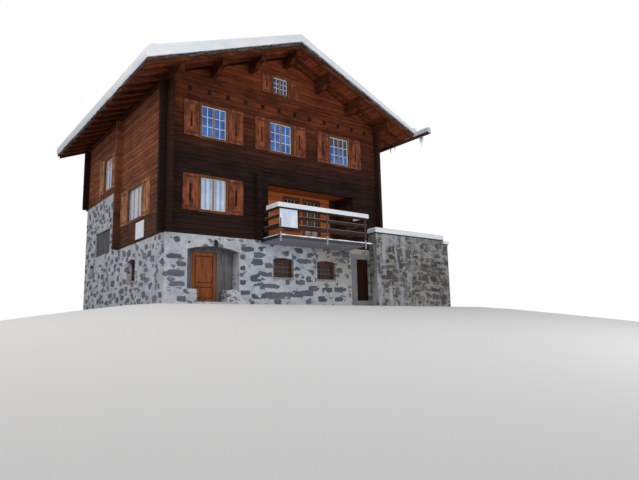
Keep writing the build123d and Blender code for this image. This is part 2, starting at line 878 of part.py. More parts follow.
def window_joinery():
    """Linings with casings, sashes and glass of all windows in the log walls."""
    with BuildPart() as window_casings:
        for wall, group in by_wall(timber_windows + loggia_windows):
            inner = [window.size(-lining_thickness) for window in group]
            panels(wall, [window.size() for window in group], -lining_depth, holes=inner)
            panels(wall, [window.size(casing_width) for window in group], casing_thickness, holes=inner)
    save(window_casings, "window_casings")
    with BuildPart() as window_sashes:
        for wall, group in by_wall(timber_windows + loggia_windows):
            lights = [light for window in group for light in window.light_sizes()]
            panels(wall.offset(-sash_setback), [window.size(-lining_thickness) for window in group],
                   -sash_thickness, holes=lights)
    save(window_sashes, "window_sashes")
    with BuildPart() as window_glass:
        inset = sash_setback + (sash_thickness - glass_thickness) / 2
        for wall, group in by_wall(timber_windows + loggia_windows):
            panels(wall.offset(-inset), [light for window in group for light in window.light_sizes()],
                   -glass_thickness)
        for wall, group in by_wall(stone_windows):
            panels(wall.offset(-stone_window_setback - stone_frame / 2),
                   [window.stone_light_size() for window in group], -glass_thickness)
    save(window_glass, "window_glass")


def shutters():
    """Open framed shutters with a recessed field and a slot, which lie on the walls beside the windows."""
    with BuildPart() as leaves:
        for wall, group in by_wall([window for window in timber_windows if window.shutter_width]):
            sizes = []
            for window in group:
                reach = window.width / 2 + casing_width + shutter_gap + window.shutter_width / 2
                for place in (window.centre - reach, window.centre + reach):
                    sizes.append((place, window.sill - shutter_drop, window.shutter_width,
                                  window.height + 2 * shutter_drop))
            fields = [(centre, bottom + shutter_stile, width - 2 * shutter_stile, height - 2 * shutter_stile)
                      for centre, bottom, width, height in sizes]
            panels(wall, sizes, shutter_thickness)
            panels(wall.offset(shutter_thickness), fields, -shutter_recess, Mode.SUBTRACT)
            slots = [(size[0], size[1] + size[3] * shutter_slot_foot, shutter_slot_width,
                      size[3] * shutter_slot_share) for size in sizes]
            panels(wall, slots, shutter_thickness, Mode.SUBTRACT)
    save(leaves, "shutters")


def stone_window_joinery():
    """Frames, sills and iron grilles of the windows in the stone walls, and the boards of a wide opening."""
    with BuildPart() as frames:
        for wall, group in by_wall(stone_windows):
            arches(wall.offset(-stone_window_setback), [window.stone_frame_size() for window in group],
                   stone_window_rise, -stone_frame, holes=[window.stone_light_size() for window in group])
    save(frames, "stone_window_frames")
    with BuildPart() as window_sills:
        for wall, group in by_wall(stone_windows):
            panels(wall.offset(stone_sill_lip),
                   [(window.centre, window.sill, window.width, stone_sill_height) for window in group],
                   -stone_sill_lip - stone_window_setback - stone_frame)
    save(window_sills, "window_sills")
    with BuildPart() as grilles:
        bars = []
        for window in front_stone_windows:
            centre, bottom, width, height = window.stone_frame_size()
            height -= stone_window_rise
            pitch = width / grille_gaps
            bars += [(centre - width / 2 + pitch * place, bottom, grille_bar, height)
                     for place in range(1, grille_gaps)]
            bars += [(centre, bottom + height * share, width, grille_bar) for share in grille_cross_shares]
        panels(front_face.offset(-stone_window_setback / 3), bars, -grille_bar)
    save(grilles, "window_grilles")
    with BuildPart() as boarded_opening:
        plane = left_face.offset(-opening_setback)
        panels(plane, [(-boarded_from_front, boarded_sill, boarded_width, boarded_height)], -board_thickness)
        panels(plane.offset(-board_thickness),
               [(-boarded_from_front, boarded_sill + boarded_height * share, boarded_width, batten_width)
                for share in batten_shares], -board_thickness)
    save(boarded_opening, "boarded_opening")


# Roof


def purlins():
    """Purlins on the gables, each with a corbel under both ends."""
    sections = [purlin_outline(centre)[1] for centre in purlin_centres()]
    width = purlin_width * corbel_share
    with BuildPart() as beams:
        plates(across(back + purlin_projection), sections, house_depth + 2 * purlin_projection)
        for centre in purlin_centres():
            top = purlin_outline(centre)[0]
            bottom = top - corbel_depth
            foot = log_stub if abs(centre) > house_width / 2 - purlin_width else 0
            outline = [(back + foot, top), (back + corbel_length, top),
                       (back + corbel_length - corbel_depth, bottom), (back + foot, bottom)]
            side = Plane(origin=(centre - width / 2, 0, 0), x_dir=(0, 1, 0), z_dir=(1, 0, 0))
            plates(side, [outline, [(-y, z) for y, z in outline]], width)
    save(beams, "purlins")


def slope_layer(side, overhang, low, high, starts, length):
    """Like stretches of one roof layer, between two heights square to its slope, in the current part."""
    near = side * ridge_gap / 2
    far = side * (house_width / 2 + overhang)
    sections = [across(start + length) for start in starts]
    outline = [(near, roof_z(near, low)), (far, roof_z(far, low)), (far, roof_z(far, high)),
               (near, roof_z(near, high))]
    plates(sections, [outline], length)


def rafter_places():
    """Places of the rafters' front faces, from the front verge to the rear one."""
    run = house_depth + 2 * gable_overhang - rafter_width
    count = round(run / rafter_spacing)
    return [front - gable_overhang + index * run / count for index in range(count + 1)]


def rafters():
    """Rafters from the ridge to the eaves on both slopes."""
    for name, side, overhang in (
        ("rafters_left", -1, eave_overhang_left - slab_overhang),
        ("rafters_right", 1, eave_overhang_right - slab_overhang),
    ):
        with BuildPart() as rafter_row:
            slope_layer(side, overhang, 0, rafter_depth, rafter_places(), rafter_width)
        save(rafter_row, name)


def roof_cover():
    """Board deck and stepped stone slab courses on both slopes."""
    start = front - gable_overhang
    length = house_depth + 2 * gable_overhang
    deck = rafter_depth + board_thickness
    for name, side, overhang in (("left", -1, eave_overhang_left), ("right", 1, eave_overhang_right)):
        with BuildPart() as boards:
            slope_layer(side, overhang - slab_overhang / 2, rafter_depth, deck, [start], length)
        save(boards, f"roof_boards_{name}")
        reach = house_width / 2 + overhang
        count = round(reach / (slab_exposure / across_slope))
        step = (reach - ridge_gap / 2) / count
        points = [(side * ridge_gap / 2, roof_z(ridge_gap / 2, deck)), (side * reach, roof_z(reach, deck))]
        for index in range(count):
            low_x = reach - index * step
            high_x = low_x - step
            points += [(side * low_x, roof_z(low_x, deck + slab_butt)),
                       (side * high_x, roof_z(high_x, deck + slab_head))]
        with BuildPart() as slabs:
            plates(across(start + length + slab_overhang), [points], length + 2 * slab_overhang)
        save(slabs, f"roof_slabs_{name}")


def roof_snow():
    """Thick rounded snow on both slopes, deeper towards the left eave than towards the right one."""
    base = rafter_depth + board_thickness + slab_butt + snow_bed
    start = front - gable_overhang - snow_lip - slab_overhang
    length = house_depth + 2 * (gable_overhang + snow_lip + slab_overhang)
    for name, side, overhang, depth in (
        ("left", -1, eave_overhang_left, snow_depth_left),
        ("right", 1, eave_overhang_right, snow_depth_right),
    ):
        near = side * ridge_gap / 2
        far = side * (house_width / 2 + overhang)
        lip = far + side * snow_lip
        inside = far - side * depth / 2
        with BuildPart() as snow:
            with BuildSketch(across(start + length)) as outline:
                with BuildLine():
                    Polyline((inside, roof_z(inside, base + depth)),
                             (near, roof_z(near, base + snow_depth_ridge)), (near, roof_z(near, base)),
                             (far, roof_z(far, base)))
                    ThreePointArc((far, roof_z(far, base)), (lip, roof_z(lip, base + depth / 2)),
                                  (inside, roof_z(inside, base + depth)))
                make_face()
            extrude(outline.sketch, amount=length)
            for end in snow.faces().sort_by(Axis.Y)[0], snow.faces().sort_by(Axis.Y)[-1]:
                verge = [edge for edge in end.edges().filter_by(GeomType.LINE)
                         if edge.length > house_width / 4
                         and edge.center().Z > roof_z(edge.center().X, base + snow_depth_right / 2)]
                fillet(verge, snow_round)
        save(snow, f"roof_snow_{name}")


def gutter():
    """Hollowed wooden gutter along the right eave, running on past the front verge."""
    centre_x = right + eave_overhang_right + gutter_radius - slab_overhang / 2
    top = roof_z(right + eave_overhang_right, rafter_depth) - gutter_drop + gutter_radius
    start = front - gable_overhang - gutter_front_run
    length = house_depth + 2 * gable_overhang + gutter_front_run
    turns = [math.pi * index / gutter_pieces for index in range(gutter_pieces + 1)]
    outline = [(centre_x - sign * radius * math.cos(turn), top - radius * math.sin(turn))
               for radius, sign in ((gutter_radius, 1), (gutter_radius - gutter_wall, -1)) for turn in turns]
    reach = (right + eave_overhang_right - slab_overhang, centre_x - gutter_radius + gutter_wall)
    with BuildPart() as trough:
        plates(across(start + length), [outline], length)
        with Locations(*[Vector(sum(reach) / 2, place + rafter_width / 2, top - bracket_depth / 2)
                         for place in rafter_places()]):
            Box(reach[1] - reach[0], bracket_width, bracket_depth)
    save(trough, "gutter")


# Balcony


def balcony():
    """Balcony slab, steel edge frame with posts, rail boards, rail, the snow on it and a hung cloth."""
    low, high = left + balcony_left, right - balcony_from_right
    outer = front - balcony_depth
    inner_edge = outer + fascia_thickness
    top = base_height
    fascia_foot = top - balcony_edge_thickness
    fascia_top = fascia_foot + fascia_height
    rail_top = top + rail_height
    rail_foot = rail_top - rail_size
    with BuildPart() as slab:
        side = Plane(origin=(low + fascia_thickness, 0, 0), x_dir=(0, 1, 0), z_dir=(1, 0, 0))
        outline = [(front, top - balcony_slab_thickness), (front, top), (inner_edge, top),
                   (inner_edge, fascia_foot)]
        plates(side, [outline], high - low - 2 * fascia_thickness)
    save(slab, "balcony_slab")
    with BuildPart() as frame:
        block((low, high), (outer, inner_edge), (fascia_foot, fascia_top))
        for edge in (low, high - fascia_thickness):
            block((edge, edge + fascia_thickness), (inner_edge, front), (fascia_foot, fascia_top))
        for share in post_shares:
            place = low + share * (high - low)
            block((place, place + post_width), (outer - post_thickness, outer),
                  (fascia_foot - post_foot, rail_foot))
        for edge in (low + fascia_thickness, high - fascia_thickness - post_thickness):
            block((edge, edge + post_thickness), (front - post_width, front), (top, rail_foot))
    save(frame, "balcony_frame")
    with BuildPart() as boards:
        inner_face = outer + balcony_board_thickness
        for rise, board_height in zip(balcony_board_feet, balcony_board_heights):
            height = (top + rise, top + rise + board_height)
            block((low, high), (outer, inner_face), height)
            for edge in (low, high - balcony_board_thickness):
                block((edge, edge + balcony_board_thickness), (inner_face, front), height)
    save(boards, "balcony_boards")
    with BuildPart() as rail:
        block((low - rail_lip, high + rail_lip), (outer - post_thickness, outer + rail_size),
              (rail_foot, rail_top))
        for edge in (low - rail_lip, high + rail_lip - rail_size):
            block((edge, edge + rail_size), (outer + rail_size, front), (rail_foot, rail_top))
    save(rail, "balcony_rail")
    snow_front = outer - rail_snow_lip
    snow_back = snow_front + rail_snow_width
    with BuildPart() as snow:
        height = (rail_top, rail_top + rail_snow_depth)
        block((low - rail_snow_lip, high + rail_snow_lip), (snow_front, snow_back), height)
        for edge in (low - rail_snow_lip, high + rail_snow_lip - side_snow_width):
            block((edge, edge + side_snow_width), (snow_back, snow_front + side_snow_length), height)
        fillet(snow.edges().group_by(Axis.Z)[-1], rail_snow_round)
    save(snow, "balcony_snow")
    cloth_y = outer - post_thickness - cloth_gap
    with BuildPart() as banner:
        block((low + banner_start, low + banner_start + banner_width), (cloth_y - banner_thickness, cloth_y),
              (rail_foot - banner_height, rail_foot))
    save(banner, "balcony_banner")


# Small pieces


def small_pieces():
    """Blank notice board and the lantern beside the entry."""
    with BuildPart() as board:
        panels(left_face, [(-board_from_front, base_height + notice_rise, board_width, board_panel_height)],
               notice_thickness)
    save(board, "notice_board")
    x = left + lantern_from_left
    y = front - lantern_reach
    lantern_bottom = base_height - lantern_drop
    glass_height = lantern_height * lantern_glass_share
    lantern_top = lantern_bottom + lantern_height
    with BuildPart() as lantern:
        block((x - lantern_plate / 2, x + lantern_plate / 2), (front - lantern_arm, front),
              (lantern_bottom + lantern_plate, lantern_top))
        block((x - lantern_arm / 2, x + lantern_arm / 2), (y, front - lantern_arm),
              (lantern_top - 2 * lantern_arm, lantern_top - lantern_arm))
        for foot, radius, height, taper in (
            (lantern_bottom, lantern_foot_radius, glass_height, -lantern_glass_taper),
            (lantern_bottom + glass_height, lantern_radius, lantern_height - glass_height - lantern_arm,
             lantern_roof_taper),
        ):
            with BuildSketch(Plane.XY.offset(foot)) as hexagon:
                with Locations((x, y)):
                    RegularPolygon(radius, 6)
            extrude(hexagon.sketch, amount=height, taper=taper)
    save(lantern, "wall_lantern")


ground_floor()
stone_front()
stone_sides()
wing_wall()
entry()
cellar_door()
log_walls()
gable_walls()
loggia_walls()
floors()
window_joinery()
shutters()
stone_window_joinery()
purlins()
rafters()
roof_cover()
roof_snow()
gutter()
balcony()
small_pieces()
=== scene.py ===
"""Looks of the alpine chalet: stonework, logs, joinery, slab edges, snow and cloth around the frame."""
import logging
import math
import random
from dataclasses import dataclass, field
from enum import Enum
from typing import Callable, Iterable, Optional, Protocol, Sequence, Union

import bpy
from bpy.types import Material, Node, NodeSocket, NodeTree, Object
from mathutils import Matrix, Vector


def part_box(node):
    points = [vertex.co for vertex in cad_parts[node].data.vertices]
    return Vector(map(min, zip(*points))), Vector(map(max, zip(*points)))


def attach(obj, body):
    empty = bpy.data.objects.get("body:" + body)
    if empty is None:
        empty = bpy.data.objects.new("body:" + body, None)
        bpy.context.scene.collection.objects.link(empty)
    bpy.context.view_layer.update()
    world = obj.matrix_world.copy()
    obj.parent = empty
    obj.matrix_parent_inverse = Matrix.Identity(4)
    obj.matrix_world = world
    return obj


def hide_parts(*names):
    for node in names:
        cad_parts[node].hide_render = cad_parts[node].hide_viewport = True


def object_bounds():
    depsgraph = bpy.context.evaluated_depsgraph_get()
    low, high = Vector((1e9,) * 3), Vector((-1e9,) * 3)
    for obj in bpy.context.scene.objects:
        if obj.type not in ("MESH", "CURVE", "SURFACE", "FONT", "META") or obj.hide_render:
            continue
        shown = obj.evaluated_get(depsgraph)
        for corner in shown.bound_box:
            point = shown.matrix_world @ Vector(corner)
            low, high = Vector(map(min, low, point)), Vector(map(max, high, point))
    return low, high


log = logging.getLogger("chalet")
logging.basicConfig(level=logging.INFO, format="%(message)s")

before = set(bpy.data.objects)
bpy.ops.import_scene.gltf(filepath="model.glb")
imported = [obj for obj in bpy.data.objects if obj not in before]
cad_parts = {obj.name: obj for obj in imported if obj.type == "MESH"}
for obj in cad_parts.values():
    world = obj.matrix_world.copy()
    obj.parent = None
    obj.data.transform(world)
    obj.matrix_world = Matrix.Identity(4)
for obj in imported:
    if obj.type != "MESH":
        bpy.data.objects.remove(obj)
bounds_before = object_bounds()

Number = Union[int, float]
Colour = tuple[float, float, float]
Place = Sequence[float]
Range = tuple[float, float]
Box = tuple[Vector, Vector]

HOUSE = "house"
HALF_WIDTH = -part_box("stone_front_left")[0][0]
HALF_DEPTH = -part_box("stone_front_left")[0][1]
BASE_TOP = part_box("stone_front_left")[1][2]
FIRST_WINDOWS_TOP = BASE_TOP + 2.5
NEAR_WALL = 0.2
COURSE = 0.19
BOARD = 0.18
PLANK = 0.16
ALONG_GRAIN = 1.4
ACROSS_GRAIN = 30.0
BOARD_DRIFT = 40.0
JOINT_DEPTH = -1.5
SEED = 7
BOX_MARGIN = 0.0005
LIME: Colour = (0.40, 0.42, 0.46)


class Axis(Enum):
    """The direction along which a log or board runs."""

    X = 0
    Y = 1
    Z = 2


class Shape(Enum):
    """What stands at each place of a field."""

    BLOCK = "block"
    ICICLE = "icicle"
    LUMP = "lump"


def new_node(tree: NodeTree, kind: str, inputs: Optional[dict] = None, **settings: object) -> Node:
    """Add a node to a tree.

    Args:
        tree: the tree.
        kind: the node's type.
        inputs: numbers, colours, values or sockets by input name or index.
        settings: its properties.

    Returns:
        The node.
    """
    node = tree.nodes.new(kind)
    for name, setting in settings.items():
        setattr(node, name, setting)
    for name, given in (inputs or {}).items():
        source = getattr(given, "socket", given)
        if isinstance(source, NodeSocket):
            tree.links.new(source, node.inputs[name])
        else:
            node.inputs[name].default_value = source
    return node


# Shader maths


def maths(operation: str, swapped: bool = False) -> Callable[..., "Value"]:
    """A method that adds a maths node for a value and the operands given with it."""
    return lambda value, *others: value.math(operation, *others, swapped=swapped)


@dataclass
class Value:
    """A shader value, whose arithmetic adds maths nodes to its tree."""

    tree: NodeTree
    socket: NodeSocket

    __add__ = maths("ADD")
    __sub__ = maths("SUBTRACT")
    __rsub__ = maths("SUBTRACT", swapped=True)
    __mul__ = maths("MULTIPLY")
    __truediv__ = maths("DIVIDE")
    __gt__ = maths("GREATER_THAN")
    __lt__ = maths("LESS_THAN")
    floor = maths("FLOOR")
    fract = maths("FRACT")
    absolute = maths("ABSOLUTE")

    def math(self, operation: str, *others: "Operand", swapped: bool = False) -> "Value":
        """Add a maths node.

        Args:
            operation: the node's operation.
            others: the other operands.
            swapped: whether they go before this value.

        Returns:
            The node's result.
        """
        operands = (*others, self) if swapped else (self, *others)
        node = new_node(self.tree, "ShaderNodeMath", dict(enumerate(operands)), operation=operation)
        return Value(self.tree, node.outputs[0])

    def ramp(self, low: Number, high: Number, to_low: Number = 0.0, to_high: Number = 1.0) -> "Value":
        """Smooth step between two values.

        Args:
            low: value where the step starts.
            high: value where it ends.
            to_low: result at the start.
            to_high: result at the end.

        Returns:
            The mapped value.
        """
        node = new_node(self.tree, "ShaderNodeMapRange", {
            "Value": self, "From Min": low, "From Max": high, "To Min": to_low, "To Max": to_high,
        }, interpolation_type="SMOOTHSTEP")
        return Value(self.tree, node.outputs["Result"])

    def joint(self, start: Number) -> "Value":
        """One close to the joints between boards, which lie at whole numbers."""
        return (self.fract() - 0.5).absolute().ramp(start, 0.5)


Operand = Union[Value, Number]


@dataclass(frozen=True)
class Tones:
    """The darkest and the lightest colour of a surface."""

    dark: Colour
    light: Colour


def times(colour: Colour, factor: Number) -> Colour:
    """A colour made darker or lighter."""
    return tuple(part * factor for part in colour)


class Surface:
    """A material under construction, with short ways to add its nodes."""

    def __init__(self, name: str, roughness: float, metallic: float = 0.0, specular: float = 0.3) -> None:
        """Start a material.

        Args:
            name: the material's name.
            roughness: how rough it is.
            metallic: 1 for bare metal.
            specular: strength of its plain reflection.
        """
        self.material = bpy.data.materials.new(name)
        self.material.use_nodes = True
        self.tree = self.material.node_tree
        self.shader = self.tree.nodes["Principled BSDF"]
        self.hold({"Roughness": roughness, "Metallic": metallic, "Specular IOR Level": specular})
        self.place = self.node("ShaderNodeTexCoord", output="Object")

    def hold(self, constants: dict[str, Number]) -> None:
        """Set the shader's named inputs to numbers."""
        for name, number in constants.items():
            self.shader.inputs[name].default_value = number

    def node(self, kind: str, inputs: Optional[dict] = None, output: Union[int, str] = 0,
             **settings: object) -> Value:
        """Add any node, as new_node does, and give one of its outputs."""
        return Value(self.tree, new_node(self.tree, kind, inputs, **settings).outputs[output])

    def axes(self, vector: Optional[Value] = None) -> tuple[Value, ...]:
        """The three parts of a place, or of another vector."""
        parts = self.node("ShaderNodeSeparateXYZ", {0: vector or self.place}).socket.node
        return tuple(Value(self.tree, output) for output in parts.outputs)

    def joined(self, *parts: Operand) -> Value:
        """A vector from three parts."""
        return self.node("ShaderNodeCombineXYZ", dict(enumerate(parts)))

    def vector(self, operation: str, first: Value, second: Union[Value, Place]) -> Value:
        """Combine two vectors."""
        return self.node("ShaderNodeVectorMath", {0: first, 1: second}, operation=operation)

    def scaled(self, scale: Union[Number, Place]) -> Value:
        """The object's own place, stretched alike or along each axis."""
        return self.vector("MULTIPLY", self.place, (scale,) * 3 if isinstance(scale, float) else scale)

    def noise(self, scale: Union[Value, Number, Place], detail: Number = 3.0,
              roughness: Number = 0.55) -> Value:
        """Smooth noise from 0 to 1.

        Args:
            scale: a vector, or how the object's own place is stretched.
            detail: number of finer layers.
            roughness: strength of the finer layers.

        Returns:
            The noise.
        """
        return self.node("ShaderNodeTexNoise", {
            "Vector": scale if isinstance(scale, Value) else self.scaled(scale),
            "Scale": 1.0, "Detail": detail, "Roughness": roughness})

    def chance(self, *parts: Operand) -> Value:
        """A steady random number for each vector of three parts."""
        return self.node("ShaderNodeTexWhiteNoise", {"Vector": self.joined(*parts)}, noise_dimensions="3D")

    def mix(self, factor: Operand, first: Union[Value, Colour], second: Union[Value, Colour]) -> Value:
        """Mix two colours.

        Args:
            factor: share of the second.
            first: a colour or colour value.
            second: a colour or colour value.

        Returns:
            The mixed colour.
        """
        ends = [given if isinstance(given, Value) else (*given, 1.0) for given in (first, second)]
        return self.node("ShaderNodeMix", {0: factor, 6: ends[0], 7: ends[1]}, 2, data_type="RGBA")

    def shade(self, tone: Operand, tones: Tones) -> Value:
        """A colour between the darkest and the lightest of a surface."""
        return self.mix(tone, tones.dark, tones.light)

    def streaked(self, colour: Value, strength: Number) -> Value:
        """A wall's colour with the lime that has run down it, strongest near the house.

        Args:
            colour: the wall's colour.
            strength: share of lime in the streaks, 0 for none.

        Returns:
            The streaked colour.
        """
        if not strength:
            return colour
        run = self.noise((2.3, 2.3, 0.42), 4.0, 0.6).ramp(0.47, 0.60)
        near = self.axes()[0].ramp(HALF_WIDTH + 0.3, HALF_WIDTH + 3.0, 1.0, 0.35)
        return self.mix(run * near * strength, colour, LIME)

    def grain(self, along: Axis, drift: Operand = 0.0) -> Value:
        """Wood grain along an axis, moved along by another value so that boards differ.

        Args:
            along: axis that the grain runs along.
            drift: value that moves it.

        Returns:
            The grain.
        """
        stretch = [ACROSS_GRAIN] * 3
        stretch[along.value] = ALONG_GRAIN
        shift = self.joined(drift, drift, drift)
        return self.noise(self.vector("ADD", self.scaled(stretch), shift), 4.0, 0.62)

    def feed(self, name: str, value: Value) -> None:
        """Link a value to the shader's named input."""
        self.tree.links.new(value.socket, self.shader.inputs[name])

    def finished(self, colour: Value, height: Optional[Value] = None, distance: Number = 0.0,
                 strength: Number = 0.0) -> Material:
        """Feed the shader its colour and its bump.

        Args:
            colour: the colour.
            height: what raises the surface.
            distance: height of the bump in metres.
            strength: strength of the bump.

        Returns:
            The finished material.
        """
        self.feed("Base Color", colour)
        if height is not None:
            self.feed("Normal", self.node("ShaderNodeBump", {
                "Distance": distance, "Strength": strength, "Height": height}))
        return self.material


# Finishes


class Finish(Protocol):
    """Anything that can make a material."""

    def material(self) -> Material:
        """Make the material."""


@dataclass(frozen=True)
class WoodFinish:
    """How a timber looks: its tones, the way it runs, its boards, and how it changes with height."""

    name: str
    tones: Tones
    along: Axis
    board: float = 0.0
    board_axis: Axis = Axis.Z
    board_start: float = 0.0
    rim: float = 0.0
    roughness: float = 0.85
    upper: Optional[Tones] = None
    change: Range = (0.0, 1.0)
    ends_beyond: float = 0.0
    aged: Tones = Tones((0.0065, 0.0035, 0.0028), (0.0156, 0.0084, 0.00672))

    def material(self) -> Material:
        """Timber with grain, a tone for each board, and joints between boards.

        Returns:
            The material.
        """
        surface = Surface(self.name, self.roughness, specular=0.1)
        parts = surface.axes()
        blotch = surface.noise((1.1, 1.1, 1.6))
        if self.board:
            place = (parts[self.board_axis.value] - self.board_start) / self.board
            odd = surface.chance(place.floor(), 0.5, 3.1)
            grain = surface.grain(self.along, odd * BOARD_DRIFT)
            tone = grain.ramp(0.3, 0.72) * 0.6 + odd * 0.35 + (blotch - 0.5) * 0.9
        else:
            grain = surface.grain(self.along)
            tone = grain.ramp(0.3, 0.72) * 0.8 + (blotch - 0.5)
        colour = surface.shade(tone, self.tones)
        if self.upper:
            high = (parts[2] + (blotch - 0.5) * 1.5).ramp(*(BASE_TOP + height for height in self.change))
            colour = surface.mix(high, colour, surface.shade(tone, self.upper))
        relief = blotch
        if self.board:
            if self.rim:
                rim = (place.fract() - 0.14).absolute().ramp(0.0, 0.07, 1.0, 0.0) * grain.ramp(0.35, 0.6)
                colour = surface.mix(rim * self.rim, colour, (self.upper or self.tones).light)
            joint = place.joint(0.44)
            colour = surface.mix(joint * 0.8, colour, times(self.tones.dark, 0.3))
            relief = joint * JOINT_DEPTH
        if self.ends_beyond:
            beyond = parts[self.along.value].absolute() > self.ends_beyond
            colour = surface.mix(beyond * 0.9, colour, surface.shade(grain, self.aged))
        surface.feed("Roughness", grain.ramp(0.2, 0.8, min(1.0, self.roughness + 0.1), self.roughness - 0.06))
        return surface.finished(colour, grain + relief, 0.004, 0.5)


@dataclass(frozen=True)
class ShutterFinish:
    """Varnished shutters, redder under the eaves and paler on the side wall, where sunlight is painted in,
    dark where rain runs.
    """

    tones: Tones = Tones((0.038, 0.012, 0.007), (0.31, 0.086, 0.037))
    # painted sunlight: lighter tones for the shutters on the side wall
    sunlit: Tones = Tones((0.10, 0.040, 0.020), (0.52, 0.235, 0.115))
    board: float = 0.105

    def material(self) -> Material:
        """Upright boards with worn varnish.

        Returns:
            The material.
        """
        surface = Surface("shutter_boards", 0.7, specular=0.15)
        x, y, _ = surface.axes()
        grain = surface.grain(Axis.Z)
        joint = ((x + y) / self.board).joint(0.43)
        rain = surface.noise((5.0, 5.0, 2.2), 4.0, 0.6)
        tone = grain.ramp(0.25, 0.75) * 0.45 + rain.ramp(0.36, 0.62) * 0.6
        # painted sunlight: the shutters on the side wall take the lighter tones
        side = (x + HALF_WIDTH) < 0.0
        colour = surface.mix(side, surface.shade(tone, self.tones), surface.shade(tone, self.sunlit))
        surface.feed("Roughness", rain.ramp(0.3, 0.7, 0.85, 0.6))
        return surface.finished(surface.mix(joint * 0.6, colour, self.tones.dark),
                                grain + joint * JOINT_DEPTH, 0.003, 0.5)


@dataclass(frozen=True)
class DoorFinish:
    """Varnished entry leaf, with painted shade in the grooves round its panels."""

    tones: Tones = Tones((0.12, 0.030, 0.007), (0.43, 0.125, 0.030))
    # painted shade for the grooves round the panels
    groove_shade: Colour = (0.050, 0.014, 0.006)
    handle_reach: float = 0.05
    groove_depth: float = 0.014

    def material(self) -> Material:
        """Upright grain, with painted shade where the surface lies behind the leaf's face.

        Returns:
            The material.
        """
        surface = Surface("entry_leaf", 0.6, specular=0.15)
        _, y, z = surface.axes()
        low, _ = corners("front_door")
        grain = surface.grain(Axis.Z)
        blotch = surface.noise((3.0, 3.0, 1.5))
        worn = (z - low.z).ramp(0.0, 0.6, 0.25, 0.0)
        tone = grain.ramp(0.3, 0.72) * 0.8 + (blotch - 0.5) * 0.9 - worn
        # painted shade: darken the groove floors, which lie behind the leaf's face
        groove_mask = (y - (low.y + self.handle_reach + self.groove_depth)).absolute() < self.groove_depth / 2
        colour = surface.shade(tone, self.tones)
        return surface.finished(surface.mix(groove_mask * 0.8, colour, self.groove_shade), grain, 0.003, 0.4)


@dataclass(frozen=True)
class LoggiaFinish:
    """Varnished boards in the loggia, with the inner side wall at the right left as logs, painted dark as
    shade.
    """

    boards: Tones = Tones((0.31, 0.072, 0.018), (0.75, 0.235, 0.063))
    # painted shade: dark tones for the inner side wall at the right
    shaded_logs: Tones = Tones((0.020, 0.009, 0.006), (0.060, 0.026, 0.017))
    shade_from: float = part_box("loggia_walls")[1][0] - 0.5

    def material(self) -> Material:
        """Level boards.

        Returns:
            The material.
        """
        surface = Surface("loggia_boards", 0.6, specular=0.2)
        x, _, z = surface.axes()
        place = (z - BASE_TOP) / COURSE
        odd = surface.chance(place.floor(), 0.5, 1.7)
        grain = surface.grain(Axis.X, odd * BOARD_DRIFT)
        tone = grain * 0.5 + odd * 0.5
        joint = place.joint(0.45)
        boards, shaded_logs = (surface.shade(tone, tones) for tones in (self.boards, self.shaded_logs))
        # painted shade on the inner side wall at the right
        colour = surface.mix(x > self.shade_from, boards, shaded_logs)
        return surface.finished(surface.mix(joint * 0.7, colour, self.shaded_logs.dark),
                                grain + joint * JOINT_DEPTH, 0.003, 0.5)


@dataclass(frozen=True)
class WallFinish:
    """Rubble laid in lime mortar, for a wall between and behind its raised stones."""

    name: str
    mortar: Tones
    stone: Tones
    cover: float
    streaks: float = 0.0
    soffit: Colour = (0.17, 0.17, 0.185)
    warm: Colour = (0.33, 0.30, 0.245)
    brown: Colour = (0.20, 0.15, 0.11)
    warm_height: float = 1.6

    def material(self) -> Material:
        """Mortar with small stones that it half covers, and a plain darker grey on faces that look down.

        Returns:
            The material.
        """
        surface = Surface(self.name, 0.92, specular=0.15)
        wobble = surface.noise((2.2, 2.2, 3.0))
        bent = surface.vector("ADD", surface.scaled((3.2, 3.2, 5.6)), surface.joined(wobble, wobble, wobble))
        edge, cell = (
            surface.node("ShaderNodeTexVoronoi", {"Vector": bent, "Scale": 1.0}, output, feature=feature)
            for output, feature in (("Distance", "DISTANCE_TO_EDGE"), ("Color", "F1"))
        )
        red, green, blue = surface.axes(cell)
        fine = surface.noise(15.0, 5.0, 0.6)
        smear = surface.noise(2.4)
        bare = (edge + (fine - 0.5) * 0.14).ramp(0.09, 0.17)
        bare = bare * (red + (smear - 0.5) * 0.6).ramp(1.0 - self.cover, 1.1 - self.cover)
        stone = surface.shade(green * 0.7 + fine * 0.3, self.stone)
        stone = surface.mix((blue > 0.8) * 0.5, stone, self.brown)
        lime = surface.shade(smear.ramp(0.3, 0.7) * 0.6 + fine.ramp(0.3, 0.7) * 0.4, self.mortar)
        if not self.streaks:
            x, y, z = surface.axes()
            high = (z + smear).ramp(BASE_TOP - self.warm_height, BASE_TOP, 0.35, 0.9)
            lime = surface.mix(x.ramp(0.3, 2.6) * (y < 0.0) * high, lime, self.warm)
        colour = surface.streaked(surface.mix(bare * 0.85, lime, stone), self.streaks)
        # a plain darker grey on faces that look down
        down = surface.axes(surface.node("ShaderNodeNewGeometry", output="Normal"))[2] < -0.5
        relief = bare * -0.5 + fine * 0.5 + smear
        return surface.finished(surface.mix(down, colour, self.soffit), relief, 0.02, 0.7)


